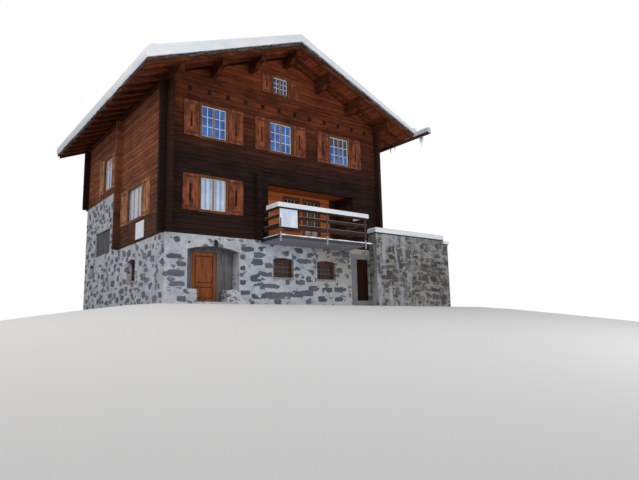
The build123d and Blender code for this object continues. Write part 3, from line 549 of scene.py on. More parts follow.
@dataclass(frozen=True)
class BlockFinish:
    """Bare split stone, each piece with its own tone from an attribute."""

    name: str
    tones: Tones
    streaks: float = 0.0
    brown: Colour = (0.15, 0.115, 0.085)

    def material(self) -> Material:
        """Stone with veins, grey lichen and a few brown pieces.

        Returns:
            The material.
        """
        surface = Surface(self.name, 0.88, specular=0.15)
        tone = surface.node("ShaderNodeAttribute", output="Fac", attribute_name="tone")
        fine = surface.noise((11.0, 11.0, 17.0), 6.0, 0.65)
        vein = surface.noise((2.0, 2.0, 6.0), 4.0)
        colour = surface.shade(tone * 0.6 + (fine - 0.3) * 0.8, self.tones)
        for factor, other in (((tone * 7.3).fract().ramp(0.8, 0.86) * 0.6, self.brown),
                              (fine.ramp(0.58, 0.8) * 0.35, times(self.tones.light, 2.2)),
                              (vein.ramp(0.4, 0.7) * 0.35, self.tones.dark)):
            colour = surface.mix(factor, colour, other)
        return surface.finished(surface.streaked(colour, self.streaks), fine, 0.012, 0.7)


@dataclass(frozen=True)
class PaintFinish:
    """A plain painted, cast or metal surface with slight uneven wear."""

    name: str
    colour: Colour
    roughness: float = 0.5
    metallic: float = 0.0
    wear: float = 0.25

    def material(self) -> Material:
        """Patches of wear over one colour.

        Returns:
            The material.
        """
        surface = Surface(self.name, self.roughness, self.metallic)
        patch = surface.noise(5.0, 4.0)
        fine = surface.noise(60.0, 2.0)
        surface.feed("Roughness", fine.ramp(0.2, 0.8, self.roughness - 0.08, min(1.0, self.roughness + 0.1)))
        return surface.finished(surface.mix(patch.ramp(0.35, 0.75) * self.wear, self.colour,
                                            times(self.colour, 0.55)), fine, 0.001, 0.3)


@dataclass(frozen=True)
class SteelFinish:
    """The balcony's navy edge beams and its posts, zinc at the foot and dark above with painted shadow."""

    beam: Colour = (0.020, 0.026, 0.040)
    post: Colour = (0.36, 0.40, 0.46)
    # painted shadow on the posts above their foot
    dark: Colour = (0.050, 0.040, 0.038)
    post_reach: float = 0.019
    shadow_start: float = 0.16

    def material(self) -> Material:
        """Navy paint, and zinc in front of the outer beam up to a hand's breadth over the slab, with painted
        shadow on the posts above.

        Returns:
            The material.
        """
        surface = Surface("balcony_steel", 0.5, specular=0.3)
        _, y, z = surface.axes()
        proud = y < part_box("balcony_frame")[0][1] + self.post_reach
        patch = surface.noise(6.0, 4.0)
        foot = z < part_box("balcony_slab")[1][2] + self.shadow_start
        # painted shadow: the posts go dark above their zinc foot
        zinc_and_shadow = surface.mix(foot, self.dark, surface.mix(patch, times(self.post, 0.6), self.post))
        return surface.finished(surface.mix(proud, self.beam, zinc_and_shadow), patch, 0.001, 0.3)


@dataclass(frozen=True)
class RailFinish:
    """Dark rail timber with snow dust along the top edge of each board."""

    tones: Tones = Tones((0.014, 0.007, 0.005), (0.075, 0.040, 0.030))
    dust: Colour = (0.34, 0.30, 0.30)

    def material(self) -> Material:
        """Level grain and pale edges.

        Returns:
            The material.
        """
        surface = Surface("rail_timber", 0.85, specular=0.1)
        z = surface.axes()[2]
        grain = surface.grain(Axis.X)
        colour = surface.shade(grain.ramp(0.3, 0.75), self.tones)
        for top in sorted({round(high.z, 3) for _, high in islands("balcony_boards")}):
            colour = surface.mix((z - top).absolute().ramp(0.008, 0.020, 0.8, 0.0), colour, self.dust)
        return surface.finished(colour, grain, 0.004, 0.5)


@dataclass(frozen=True)
class SnowFinish:
    """Settled snow with soft wind marks."""

    name: str = "snow"
    tones: Tones = Tones((0.72, 0.77, 0.86), (0.84, 0.86, 0.90))

    def material(self) -> Material:
        """Wide soft marks and a fine crust.

        Returns:
            The material.
        """
        surface = Surface(self.name, 0.75, specular=0.2)
        wide = surface.noise((0.8, 0.8, 1.5), 4.0)
        fine = surface.noise(9.0, 4.0)
        colour = surface.shade(wide.ramp(0.3, 0.7), self.tones)
        return surface.finished(colour, wide * 2.5 + fine * 0.4, 0.05, 0.8)


@dataclass(frozen=True)
class GlassFinish:
    """Window panes: clear upstairs with a painted blue sky reflection, drawn curtains below with painted
    shade in their folds, and dark rooms elsewhere, which are painted shade.
    """

    # painted reflection of the blue sky on the clear panes
    blue: Tones = Tones((0.015, 0.075, 0.30), (0.05, 0.17, 0.52))
    curtain: Tones = Tones((0.20, 0.30, 0.52), (0.60, 0.66, 0.78))
    blind: Colour = (0.42, 0.31, 0.25)
    # painted shade: the unlit rooms seen through the panes
    room: Colour = (0.020, 0.019, 0.020)
    blind_top: float = BASE_TOP + 1.05
    second_sill: float = BASE_TOP + 4.4
    gable_foot: float = BASE_TOP + 5.9
    folds_per_metre: float = 30.0

    def material(self) -> Material:
        """Panes whose look goes by the storey and the wall that they are in.

        Returns:
            The material.
        """
        surface = Surface("window_glass", 0.1, specular=0.25)
        surface.hold({"Coat Weight": 0.12, "Coat Roughness": 0.04})
        x, y, z = surface.axes()
        blur = surface.noise((1.6, 1.6, 1.9), 2.0)
        # painted light and shade of the curtain folds
        curtain_fold_shade = ((x + y) * self.folds_per_metre + blur * 2.5).math("SINE") * 0.5 + 0.5
        curtain = surface.shade(curtain_fold_shade * 0.8 + (blur - 0.5), self.curtain)
        timber = z > BASE_TOP
        first = timber * (z < FIRST_WINDOWS_TOP)
        front = (y + HALF_DEPTH) < NEAR_WALL
        side = (x + HALF_WIDTH) < NEAR_WALL
        drawn = (first * front + side * timber).math("MINIMUM", 1.0)
        # painted blue sky reflection on the panes without curtains
        colour = surface.mix(drawn, surface.shade(blur.ramp(0.3, 0.7), self.blue), curtain)
        inside = first * (1.0 - front) * (1.0 - side)
        # the inner first-floor panes show a blind above, and the dark room below as painted shade
        colour = surface.mix(inside, colour, surface.mix(z > self.blind_top, self.blind, self.room))
        # painted shade: parts of the front panes at the right show the dark room instead of the reflection
        half_lit = front * (x > HALF_WIDTH * 0.35) * (blur + (z - self.second_sill) * 0.35 > 0.52)
        colour = surface.mix(half_lit * 0.85, colour, self.room)
        # painted shade: cellar and gable panes show the dark room
        dark = ((z < BASE_TOP) + (z > self.gable_foot) * 0.8).math("MINIMUM", 1.0)
        return surface.finished(surface.mix(dark, colour, self.room))


@dataclass(frozen=True)
class SashFinish:
    """Cream sashes on the outer walls, brown where the leaves meet, and brown ones in the loggia."""

    cream: Colour = (0.66, 0.62, 0.54)
    brown: Colour = (0.24, 0.095, 0.038)
    worn: Colour = (0.33, 0.17, 0.08)
    loggia_wall: float = 0.5
    leaf_gap: float = 0.2
    rail_edge: float = 0.005
    rail_end: float = 0.01

    def material(self) -> Material:
        """Paint with slight wear.

        Returns:
            The material.
        """
        surface = Surface("sash_paint", 0.5, specular=0.25)
        x, y, z = surface.axes()
        patch = surface.noise(7.0)
        within = x.absolute() < HALF_WIDTH - self.loggia_wall
        inner = (y + HALF_DEPTH > self.loggia_wall) * (y < 0.0) * within
        brown = inner + ((x + HALF_WIDTH) < NEAR_WALL / 2) * 0.7
        panes = [box for box in islands("window_glass")
                 if box[0].z > BASE_TOP and box[1].y < -HALF_DEPTH + NEAR_WALL]
        panes.sort(key=lambda box: (round(box[0].z, 1), box[0].x))
        for (_, left), (right, _) in zip(panes, panes[1:]):
            if 0.0 < right.x - left.x < self.leaf_gap:
                height = (z > right.z - self.rail_end) * (z < left.z + self.rail_end)
                between = (x > left.x + self.rail_edge) * (x < right.x - self.rail_edge)
                brown = brown + between * height
        colour = surface.mix(brown.math("MINIMUM", 1.0), self.cream, self.brown)
        return surface.finished(surface.mix(patch.ramp(0.5, 0.8) * 0.4, colour, self.worn))


@dataclass(frozen=True)
class ClothFinish:
    """Plain woven cloth, nearly white with a blue cast."""

    tones: Tones = Tones((0.58, 0.66, 0.84), (0.80, 0.84, 0.92))

    def material(self) -> Material:
        """Weave, and soft folds painted as light and shade.

        Returns:
            The material.
        """
        surface = Surface("cloth", 0.9, specular=0.1)
        weave = surface.noise(400.0, 1.0)
        # painted light and shade of soft folds
        cloth_fold_shade = surface.noise((6.0, 1.0, 2.0), 2.0)
        return surface.finished(surface.shade(cloth_fold_shade.ramp(0.3, 0.7), self.tones), weave, 0.0006, 0.3)


@dataclass(frozen=True)
class IceFinish:
    """Clear ice."""

    tones: Tones = Tones((0.26, 0.35, 0.47), (0.52, 0.62, 0.74))

    def material(self) -> Material:
        """Pale and blue bands."""
        surface = Surface("ice", 0.2, specular=0.5)
        return surface.finished(surface.shade(surface.noise((20.0, 20.0, 6.0)), self.tones))


# Geometry built from repeats


class Graph:
    """A Geometry Nodes tree under construction."""

    def __init__(self, name: str, inputs: dict[str, Number]) -> None:
        """Start a tree with a mesh input and named number inputs.

        Args:
            name: the tree's name.
            inputs: its numbers by label.
        """
        self.tree = bpy.data.node_groups.new(name, "GeometryNodeTree")
        for way in ("INPUT", "OUTPUT"):
            self.tree.interface.new_socket("Mesh", in_out=way, socket_type="NodeSocketGeometry")
        for label, number in inputs.items():
            kind = "NodeSocketInt" if isinstance(number, int) else "NodeSocketFloat"
            socket = self.tree.interface.new_socket(label, in_out="INPUT", socket_type=kind)
            socket.default_value = number
        self.start = self.tree.nodes.new("NodeGroupInput")
        self.end = self.tree.nodes.new("NodeGroupOutput")

    def add(self, kind: str, inputs: Optional[dict] = None, output: Union[int, str] = 0,
            **settings: object) -> NodeSocket:
        """Add any node, as new_node does, and give one of its outputs."""
        return new_node(self.tree, kind, inputs, **settings).outputs[output]

    def maths(self, operation: str, *operands: object) -> NodeSocket:
        """A maths node on sockets and numbers."""
        return self.add("ShaderNodeMath", dict(enumerate(operands)), operation=operation)

    def vector(self, operation: str, inputs: dict) -> NodeSocket:
        """A vector maths node."""
        return self.add("ShaderNodeVectorMath", inputs, operation=operation)

    def chance(self, low: object, high: object, seed: object) -> NodeSocket:
        """A random number for each point."""
        return self.add("FunctionNodeRandomValue", {2: low, 3: high, "Seed": seed}, 1, data_type="FLOAT")

    def given(self, label: str) -> NodeSocket:
        """One of the tree's named inputs."""
        return self.start.outputs[label]

    def attribute(self, name: str) -> NodeSocket:
        """A named vector attribute of the points."""
        return self.add("GeometryNodeInputNamedAttribute", {"Name": name}, data_type="FLOAT_VECTOR")

    def place(self) -> NodeSocket:
        """The place of each point."""
        return self.add("GeometryNodeInputPosition")

    def moved(self, geometry: NodeSocket, **inputs: NodeSocket) -> NodeSocket:
        """Geometry whose points have a new Position or an Offset."""
        return self.add("GeometryNodeSetPosition", {"Geometry": geometry, **inputs})

    def shaken(self, geometry: NodeSocket, scale: Number, amount: object) -> NodeSocket:
        """Geometry whose points are moved by smooth noise.

        Args:
            geometry: what is moved.
            scale: the noise's scale.
            amount: how far the points move, as a number or a socket.

        Returns:
            The moved geometry.
        """
        noise = self.add("ShaderNodeTexNoise", {
            "Vector": self.place(), "Scale": scale, "Detail": 2.0}, "Color")
        centred = self.vector("SUBTRACT", {0: noise, 1: (0.5, 0.5, 0.5)})
        return self.moved(geometry, Offset=self.vector("SCALE", {0: centred, "Scale": amount}))

    def scattered(self, seed: object, shake: tuple[Number, object], inputs: dict) -> NodeSocket:
        """Pieces on points, each with a tone of its own.

        Args:
            seed: seed of the tones.
            shake: scale and amount of the noise that moves the pieces' points.
            inputs: points, piece, turn and size, by the names of Instance on Points.

        Returns:
            All the pieces as one mesh.
        """
        toned = self.add("GeometryNodeStoreNamedAttribute", {
            "Geometry": self.add("GeometryNodeInstanceOnPoints", inputs), "Name": "tone",
            "Value": self.chance(0.0, 1.0, seed)}, data_type="FLOAT", domain="INSTANCE")
        return self.shaken(self.add("GeometryNodeRealizeInstances", {0: toned}), *shake)

    def finish(self, geometry: NodeSocket, material: Material) -> NodeTree:
        """End the tree in realised instances with a material, held inside the frame's box.

        Args:
            geometry: what the tree makes.
            material: its material.

        Returns:
            The tree.
        """
        low, high = plain(bounds_before)
        above = self.vector("MAXIMUM", {0: self.place(), 1: [part + BOX_MARGIN for part in low]})
        inside = self.vector("MINIMUM", {0: above, 1: [part - BOX_MARGIN for part in high]})
        solid = self.add("GeometryNodeRealizeInstances", {0: self.moved(geometry, Position=inside)})
        dressed = self.add("GeometryNodeSetMaterial", {"Geometry": solid, "Material": material})
        self.tree.links.new(dressed, self.end.inputs[0])
        return self.tree


def evaluated(name: str, source: bpy.types.Mesh, tree: NodeTree, values: dict[str, Number]) -> Object:
    """Run a Geometry Nodes tree on a mesh and keep the result as a plain mesh object.

    Args:
        name: the new object's name.
        source: the mesh it starts from.
        tree: the Geometry Nodes tree.
        values: numbers for its named inputs.

    Returns:
        The object with the finished mesh.
    """
    holder = placed(name + "_source", source)
    modifier = holder.modifiers.new("build", "NODES")
    modifier.node_group = tree
    for item in tree.interface.items_tree:
        if item.item_type == "SOCKET" and item.in_out == "INPUT" and item.name in values:
            modifier[item.identifier] = values[item.name]
    graph = bpy.context.evaluated_depsgraph_get()
    mesh = bpy.data.meshes.new_from_object(holder.evaluated_get(graph))
    holder.modifiers.remove(modifier)
    bpy.data.objects.remove(holder)
    mesh.name = name
    return placed(name, mesh)


def placed(name: str, data: bpy.types.ID) -> Object:
    """An object in the scene from a mesh, lamp or camera.

    Args:
        name: the object's name.
        data: its mesh, lamp or camera.

    Returns:
        The object.
    """
    piece = bpy.data.objects.new(name, data)
    bpy.context.scene.collection.objects.link(piece)
    return piece


def keep(piece: Object) -> Object:
    """Let a piece ride on the house, and log it.

    Args:
        piece: the object.

    Returns:
        The same object.
    """
    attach(piece, HOUSE)
    log.info("%s: %d faces", piece.name, len(piece.data.polygons))
    return piece


@dataclass
class Field:
    """Many like pieces at given places, made with Geometry Nodes."""

    name: str
    shape: Shape
    material: Material
    slot: str
    ragged: float = 0.0
    places: list[tuple[Place, Place, Place]] = field(default_factory=list)

    def add(self, place: Place, size: Place, turn: Place = (0.0, 0.0, 0.0)) -> None:
        """Add one piece by its middle, its size and its turn."""
        self.places.append((tuple(place), tuple(size), tuple(turn)))

    def _unit(self, graph: Graph) -> NodeSocket:
        """One piece of unit size.

        Args:
            graph: the node tree that it is added to.

        Returns:
            The piece.
        """
        kind, inputs = {
            Shape.BLOCK: ("Cube", {"Size": (1.0, 1.0, 1.0)}),
            Shape.ICICLE: ("Cone", {"Vertices": 7, "Radius Top": 0.5, "Radius Bottom": 0.06, "Depth": 1.0}),
            Shape.LUMP: ("IcoSphere", {"Radius": 0.5, "Subdivisions": 3}),
        }[self.shape]
        return graph.add("GeometryNodeMesh" + kind, inputs)

    def build(self) -> Object:
        """Build the pieces as one object.

        Returns:
            The object.
        """
        points = bpy.data.meshes.new(self.name + "_points")
        points.from_pydata([place for place, _, _ in self.places], [], [])
        for label, index in (("size", 1), ("turn", 2)):
            layer = points.attributes.new(label, "FLOAT_VECTOR", "POINT")
            layer.data.foreach_set("vector", [part for entry in self.places for part in entry[index]])
        values = {"Ragged": self.ragged, "Seed": SEED}
        graph = Graph(self.name + "_nodes", values)
        pieces = graph.scattered(graph.given("Seed"), (9.0, graph.given("Ragged")), {
            "Points": graph.given("Mesh"), "Instance": self._unit(graph),
            "Rotation": graph.attribute("turn"), "Scale": graph.attribute("size")})
        smooth = graph.add("GeometryNodeSetShadeSmooth", {
            0: pieces, "Shade Smooth": self.shape is not Shape.BLOCK})
        tree = graph.finish(smooth, self.material)
        return keep(evaluated(self.name, points, tree, values))


@dataclass
class RubbleField:
    """Raised stones over the outer faces of a wall, made with Geometry Nodes."""

    name: str
    nodes: tuple[str, ...]
    material: Material
    spacing: float
    widths: Range
    heights: Range
    seed: int
    proud: float = 0.012
    squeeze: float = 0.5
    small: float = 0.07
    room_share: float = 1.6
    flattening: float = 1.22
    most: float = 60.0
    sharp: float = 0.5
    level: float = 0.2
    shake: Range = (4.0, 0.11)

    def faces(self) -> bpy.types.Mesh:
        """The upright outer faces of the wall's nodes, joined as one mesh.

        Returns:
            The mesh.
        """
        vertices: list[tuple[float, ...]] = []
        faces: list[tuple[int, ...]] = []
        for node in self.nodes:
            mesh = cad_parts[node].data
            for polygon in mesh.polygons:
                if abs(polygon.normal.z) > self.level or not outward(polygon.center, polygon.normal):
                    continue
                start = len(vertices)
                vertices += [tuple(mesh.vertices[index].co) for index in polygon.vertices]
                faces.append(tuple(range(start, start + len(polygon.vertices))))
        mesh = bpy.data.meshes.new(self.name + "_faces")
        mesh.from_pydata(vertices, [], faces)
        return mesh

    def _spread(self, graph: Graph, wall: NodeSocket) -> tuple[NodeSocket, NodeSocket]:
        """Points over the walls, wider apart along them than upwards, and the walls' normals at them.

        Args:
            graph: the node tree that it is added to.
            wall: the walls' faces.

        Returns:
            The points and the normals.
        """
        place = graph.place()
        narrow, wide = (
            graph.vector("MULTIPLY", {0: place, 1: (share, share, 1.0)})
            for share in (self.squeeze, 1.0 / self.squeeze)
        )
        points = graph.add("GeometryNodeDistributePointsOnFaces", {
            "Mesh": graph.moved(wall, Position=narrow), "Distance Min": graph.given("Spacing"),
            "Density Max": self.most, "Seed": graph.given("Seed")}, "Points", distribute_method="POISSON")
        return graph.moved(points, Position=wide), points.node.outputs["Normal"]

    def _room(self, graph: Graph, wall: NodeSocket) -> NodeSocket:
        """The room that a stone has before it reaches an edge or a corner of the wall.

        Args:
            graph: the node tree that it is added to.
            wall: the walls' faces.

        Returns:
            The room, for each point.
        """
        rim = graph.maths("COMPARE", graph.add("GeometryNodeInputMeshEdgeNeighbors"), 1.0, 0.5)
        angle = graph.add("GeometryNodeInputMeshEdgeAngle", output="Unsigned Angle")
        either = graph.maths("MAXIMUM", rim, graph.maths("GREATER_THAN", angle, self.sharp))
        border = graph.add("GeometryNodeMeshToCurve", {"Mesh": wall, "Selection": either})
        near = graph.add("GeometryNodeProximity", {
            0: graph.add("GeometryNodeCurveToMesh", {"Curve": border})}, "Distance", target_element="EDGES")
        return graph.maths("MULTIPLY", near, self.room_share)

    def _stone(self, graph: Graph) -> NodeSocket:
        """One stone of unit size: a ball with six flattened sides.

        Args:
            graph: the node tree that it is added to.

        Returns:
            The stone.
        """
        ball = graph.add("GeometryNodeMeshIcoSphere", {"Radius": 0.5, "Subdivisions": 3})
        parts = graph.add("ShaderNodeSeparateXYZ", {0: graph.place()}).node.outputs
        flats = [
            graph.add("ShaderNodeClamp", {
                "Value": graph.maths("MULTIPLY", part, self.flattening), "Min": -0.5, "Max": 0.5})
            for part in parts
        ]
        return graph.moved(ball, Position=graph.add("ShaderNodeCombineXYZ", dict(enumerate(flats))))

    def build(self) -> Object:
        """Build the stones as one object.

        Returns:
            The object.
        """
        values = {"Spacing": self.spacing, "Proud": self.proud, "Seed": self.seed,
                  "Narrowest": self.widths[0], "Widest": self.widths[1],
                  "Lowest": self.heights[0], "Highest": self.heights[1]}
        graph = Graph(self.name + "_nodes", values)
        wall = graph.add("GeometryNodeMergeByDistance", {"Geometry": graph.given("Mesh"), "Distance": 0.0005})
        points, normals = self._spread(graph, wall)
        room = self._room(graph, wall)
        width, height = (
            graph.maths("MINIMUM", graph.chance(graph.given(least), graph.given(most), seed), room)
            for least, most, seed in (("Narrowest", "Widest", 5), ("Lowest", "Highest", 3))
        )
        size = graph.add("ShaderNodeCombineXYZ", {
            "X": width, "Y": height, "Z": graph.maths("MULTIPLY", graph.given("Proud"), 2.0)})
        facing = graph.add("FunctionNodeAlignEulerToVector", {"Vector": normals}, axis="Z")
        upright = graph.add("FunctionNodeAlignEulerToVector", {
            "Rotation": facing, "Vector": (0.0, 0.0, 1.0)}, axis="Y", pivot_axis="Z")
        stones = graph.scattered(11, self.shake, {
            "Points": points, "Selection": graph.maths("GREATER_THAN", height, self.small),
            "Instance": self._stone(graph), "Rotation": upright, "Scale": size})
        tree = graph.finish(stones, self.material)
        return keep(evaluated(self.name, self.faces(), tree, values))


def outward(middle: Vector, normal: Vector) -> bool:
    """Whether a face looks out of the main block or wing, and isn't inside a room or opening.

    Args:
        middle: the face's middle.
        normal: its normal.

    Returns:
        Whether it looks out.
    """
    edge, square = 0.02, 0.9
    wing_start = HALF_WIDTH - 0.75
    if middle.x > wing_start and middle.y < -HALF_DEPTH + edge:
        return abs(normal.y) > square or normal.x > square
    if abs(normal.y) > square:
        return abs(middle.y) > HALF_DEPTH - edge and normal.y * middle.y > 0
    return abs(middle.x) > HALF_WIDTH - edge and normal.x * middle.x > 0


def corners(node: str) -> Box:
    """The lowest and the highest corner of a CAD node."""
    low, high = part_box(node)
    return Vector(low), Vector(high)


def islands(node: str) -> list[Box]:
    """The box of each separate solid in a CAD node.

    Args:
        node: the CAD node's name.

    Returns:
        The lowest and highest corner of each solid.
    """
    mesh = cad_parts[node].data
    keys = [tuple(round(part, 4) for part in vertex.co) for vertex in mesh.vertices]
    parent: dict[tuple, tuple] = {key: key for key in keys}

    def root(key: tuple) -> tuple:
        """The key that stands for a solid."""
        while parent[key] != key:
            parent[key] = parent[parent[key]]
            key = parent[key]
        return key

    for polygon in mesh.polygons:
        first = root(keys[polygon.vertices[0]])
        for index in polygon.vertices[1:]:
            parent[root(keys[index])] = first
            first = root(first)
    groups: dict[tuple, list[tuple]] = {}
    for key in parent:
        groups.setdefault(root(key), []).append(key)
    return [(Vector(map(min, zip(*group))), Vector(map(max, zip(*group)))) for group in groups.values()]


def grid_faces(rows: int, columns: int, rows_first: bool) -> list[tuple[int, ...]]:
    """The square faces of a grid of points.

    Args:
        rows: number of squares one way.
        columns: number of squares the other way, along which the points are counted.
        rows_first: whether each face's second corner is in the next row, which turns the face over.

    Returns:
        Each face as four indices of points.
    """
    second, fourth = (columns + 1, 1) if rows_first else (1, columns + 1)
    starts = [row * (columns + 1) + column for row in range(rows) for column in range(columns)]
    return [(start, start + second, start + second + fourth, start + fourth) for start in starts]


def smooth_mesh(name: str, vertices: list[tuple], faces: list[tuple], material: Material) -> Object:
    """A smooth mesh object with a material.

    Args:
        name: its name.
        vertices: its points.
        faces: its faces, as indices of points.
        material: its material.

    Returns:
        The object.
    """
    mesh = bpy.data.meshes.new(name)
    mesh.from_pydata(vertices, [], faces)
    mesh.polygons.foreach_set("use_smooth", [True] * len(mesh.polygons))
    mesh.materials.append(material)
    return placed(name, mesh)


def dress(finish: Finish, *nodes: str) -> Material:
    """Give CAD nodes one material.

    Args:
        finish: the finish that makes the material.
        nodes: the CAD nodes' names.

    Returns:
        The material.
    """
    material = finish.material()
    for node in nodes:
        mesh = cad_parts[node].data
        mesh.materials.clear()
        mesh.materials.append(material)
        log.info("%s wears %s", node, material.name)
    return material


# Sub-assemblies


@dataclass
class Stonework:
    """The rubble walls of the lower storeys, the wing wall and the cast and cut stone."""

    mortar: Tones = Tones((0.33, 0.35, 0.385), (0.56, 0.59, 0.645))
    stone: Tones = Tones((0.060, 0.074, 0.100), (0.165, 0.19, 0.235))
    side_stone: Tones = Tones((0.085, 0.095, 0.120), (0.23, 0.245, 0.29))
    wing_mortar: Tones = Tones((0.15, 0.14, 0.125), (0.36, 0.345, 0.32))
    wing_stone: Tones = Tones((0.034, 0.036, 0.042), (0.15, 0.145, 0.145))
    cast: Colour = (0.25, 0.255, 0.285)
    cut: Colour = (0.20, 0.20, 0.215)
    sill: Colour = (0.28, 0.28, 0.29)
    fronts: tuple[str, ...] = ("stone_front_left", "stone_entry_arch", "stone_front_middle",
                               "stone_front_right", "stone_cellar_head")
    sides: tuple[str, ...] = ("stone_wall_left", "stone_wall_right", "stone_wall_back")

    def build(self) -> None:
        """Dress the stone nodes and add the raised stones."""
        dress(WallFinish("rubble_wall", self.mortar, self.stone, 0.30),
              *self.fronts, *self.sides, "ground_floor")
        dress(WallFinish("wing_rubble", self.wing_mortar, self.wing_stone, 0.75, 0.75), "wing_wall")
        block = BlockFinish("rubble_block", self.stone).material()
        pale = BlockFinish("side_block", self.side_stone).material()
        grey = BlockFinish("wing_block", self.wing_stone, 0.75).material()
        dress(WallFinish("plinth_rubble", self.mortar, self.stone, 0.85), "entry_plinths")
        dress(PaintFinish("cast_slab", self.cast, 0.9, wear=0.5), "balcony_slab")
        dress(PaintFinish("cut_stone", self.cut, 0.85, wear=0.5), "cellar_surround")
        dress(PaintFinish("sill_stone", self.sill, 0.8, wear=0.5), "window_sills")
        dress(BlockFinish("cap_slab", self.wing_stone), "wing_cap_slabs")
        RubbleField("front_stones", self.fronts, block, 0.26, (0.42, 0.92), (0.16, 0.26), 3).build()
        RubbleField("side_stones", self.sides, pale, 0.25, (0.22, 0.56), (0.13, 0.26), 5).build()
        RubbleField("wing_stones", ("wing_wall",), grey, 0.19, (0.16, 0.75), (0.09, 0.27), 9, 0.016).build()


@dataclass
class Timber:
    """Log walls, floors, roof timber and doors."""

    front_low: Tones = Tones((0.008, 0.004, 0.0032), (0.030, 0.015, 0.012))
    front_high: Tones = Tones((0.060, 0.014, 0.005), (0.29, 0.066, 0.022))
    side_low: Tones = Tones((0.030, 0.013, 0.009), (0.11, 0.050, 0.032))
    side_high: Tones = Tones((0.080, 0.026, 0.014), (0.31, 0.105, 0.050))
    floor: Tones = Tones((0.26, 0.15, 0.08), (0.48, 0.32, 0.20))
    beam: Tones = Tones((0.028, 0.008, 0.004), (0.15, 0.038, 0.016))
    rafter: Tones = Tones((0.034, 0.010, 0.005), (0.19, 0.050, 0.021))
    soffit: Tones = Tones((0.085, 0.021, 0.008), (0.42, 0.105, 0.037))
    joinery: Tones = Tones((0.058, 0.022, 0.011), (0.24, 0.098, 0.046))
    frames: Tones = Tones((0.045, 0.020, 0.014), (0.16, 0.070, 0.045))
    grey: Tones = Tones((0.070, 0.066, 0.072), (0.26, 0.258, 0.275))
    worn: Tones = Tones((0.045, 0.042, 0.045), (0.155, 0.150, 0.160))
    cellar: Tones = Tones((0.008, 0.003, 0.0015), (0.030, 0.009, 0.004))
    notice: Colour = (0.74, 0.78, 0.86)
    opening_boards: int = 6

    def build(self) -> None:
        """Dress the timber nodes."""
        self._walls()
        self._roof()
        self._joinery()

    def _walls(self) -> None:
        """Log walls and floors."""
        dress(WoodFinish("front_logs", self.front_low, Axis.X, COURSE, Axis.Z, BASE_TOP, 0.10,
                         upper=self.front_high, change=(2.4, 8.4), ends_beyond=HALF_WIDTH),
              "log_front_lower", "log_front_upper", "log_back_upper", "log_gable_front", "log_gable_back")
        dress(WoodFinish("side_logs", self.side_low, Axis.Y, COURSE, Axis.Z, BASE_TOP + COURSE / 2, 0.45,
                         upper=self.side_high, change=(0.2, 3.2), ends_beyond=HALF_DEPTH),
              "log_left_lower", "log_left_upper", "log_right_lower", "log_right_upper")
        dress(WoodFinish("floor_boards", self.floor, Axis.X, BOARD, Axis.Y), "first_floor", "attic_floor")
        varnished = LoggiaFinish()
        dress(WoodFinish("loggia_ceiling", varnished.boards, Axis.X, BOARD, Axis.Y), "second_floor")
        dress(varnished, "loggia_walls")

    def _roof(self) -> None:
        """Purlins, rafters and the boards over them."""
        dress(WoodFinish("beams", self.beam, Axis.Y), "purlins")
        dress(WoodFinish("rafters", self.rafter, Axis.X), "rafters_left", "rafters_right")
        dress(WoodFinish("soffit_boards", self.soffit, Axis.Y, PLANK, Axis.X),
              "roof_boards_left", "roof_boards_right")
        dress(WoodFinish("joists", self.front_low, Axis.Z), "joist_ends")
        dress(WoodFinish("gutter_timber", self.beam, Axis.Y), "gutter")

    def _joinery(self) -> None:
        """Casings, shutters, frames and doors."""
        dress(WoodFinish("joinery", self.joinery, Axis.Z, roughness=0.6), "window_casings")
        dress(SashFinish(), "window_sashes")
        dress(ShutterFinish(), "shutters")
        dress(WoodFinish("cellar_frames", self.frames, Axis.X), "stone_window_frames")
        dress(WoodFinish("grey_planks", self.grey, Axis.Z, PLANK, Axis.X), "entry_frame")
        low, high = corners("boarded_opening")
        board = (high.y - low.y) / self.opening_boards
        dress(WoodFinish("opening_boards", self.worn, Axis.Z, board, Axis.Y, low.y), "boarded_opening")
        dress(DoorFinish(), "front_door")
        dress(WoodFinish("cellar_leaf", self.cellar, Axis.Z, 0.14, Axis.X), "cellar_door")
        dress(RailFinish(), "balcony_boards", "balcony_rail")
        dress(PaintFinish("notice_white", self.notice, 0.5, wear=0.1), "notice_board")


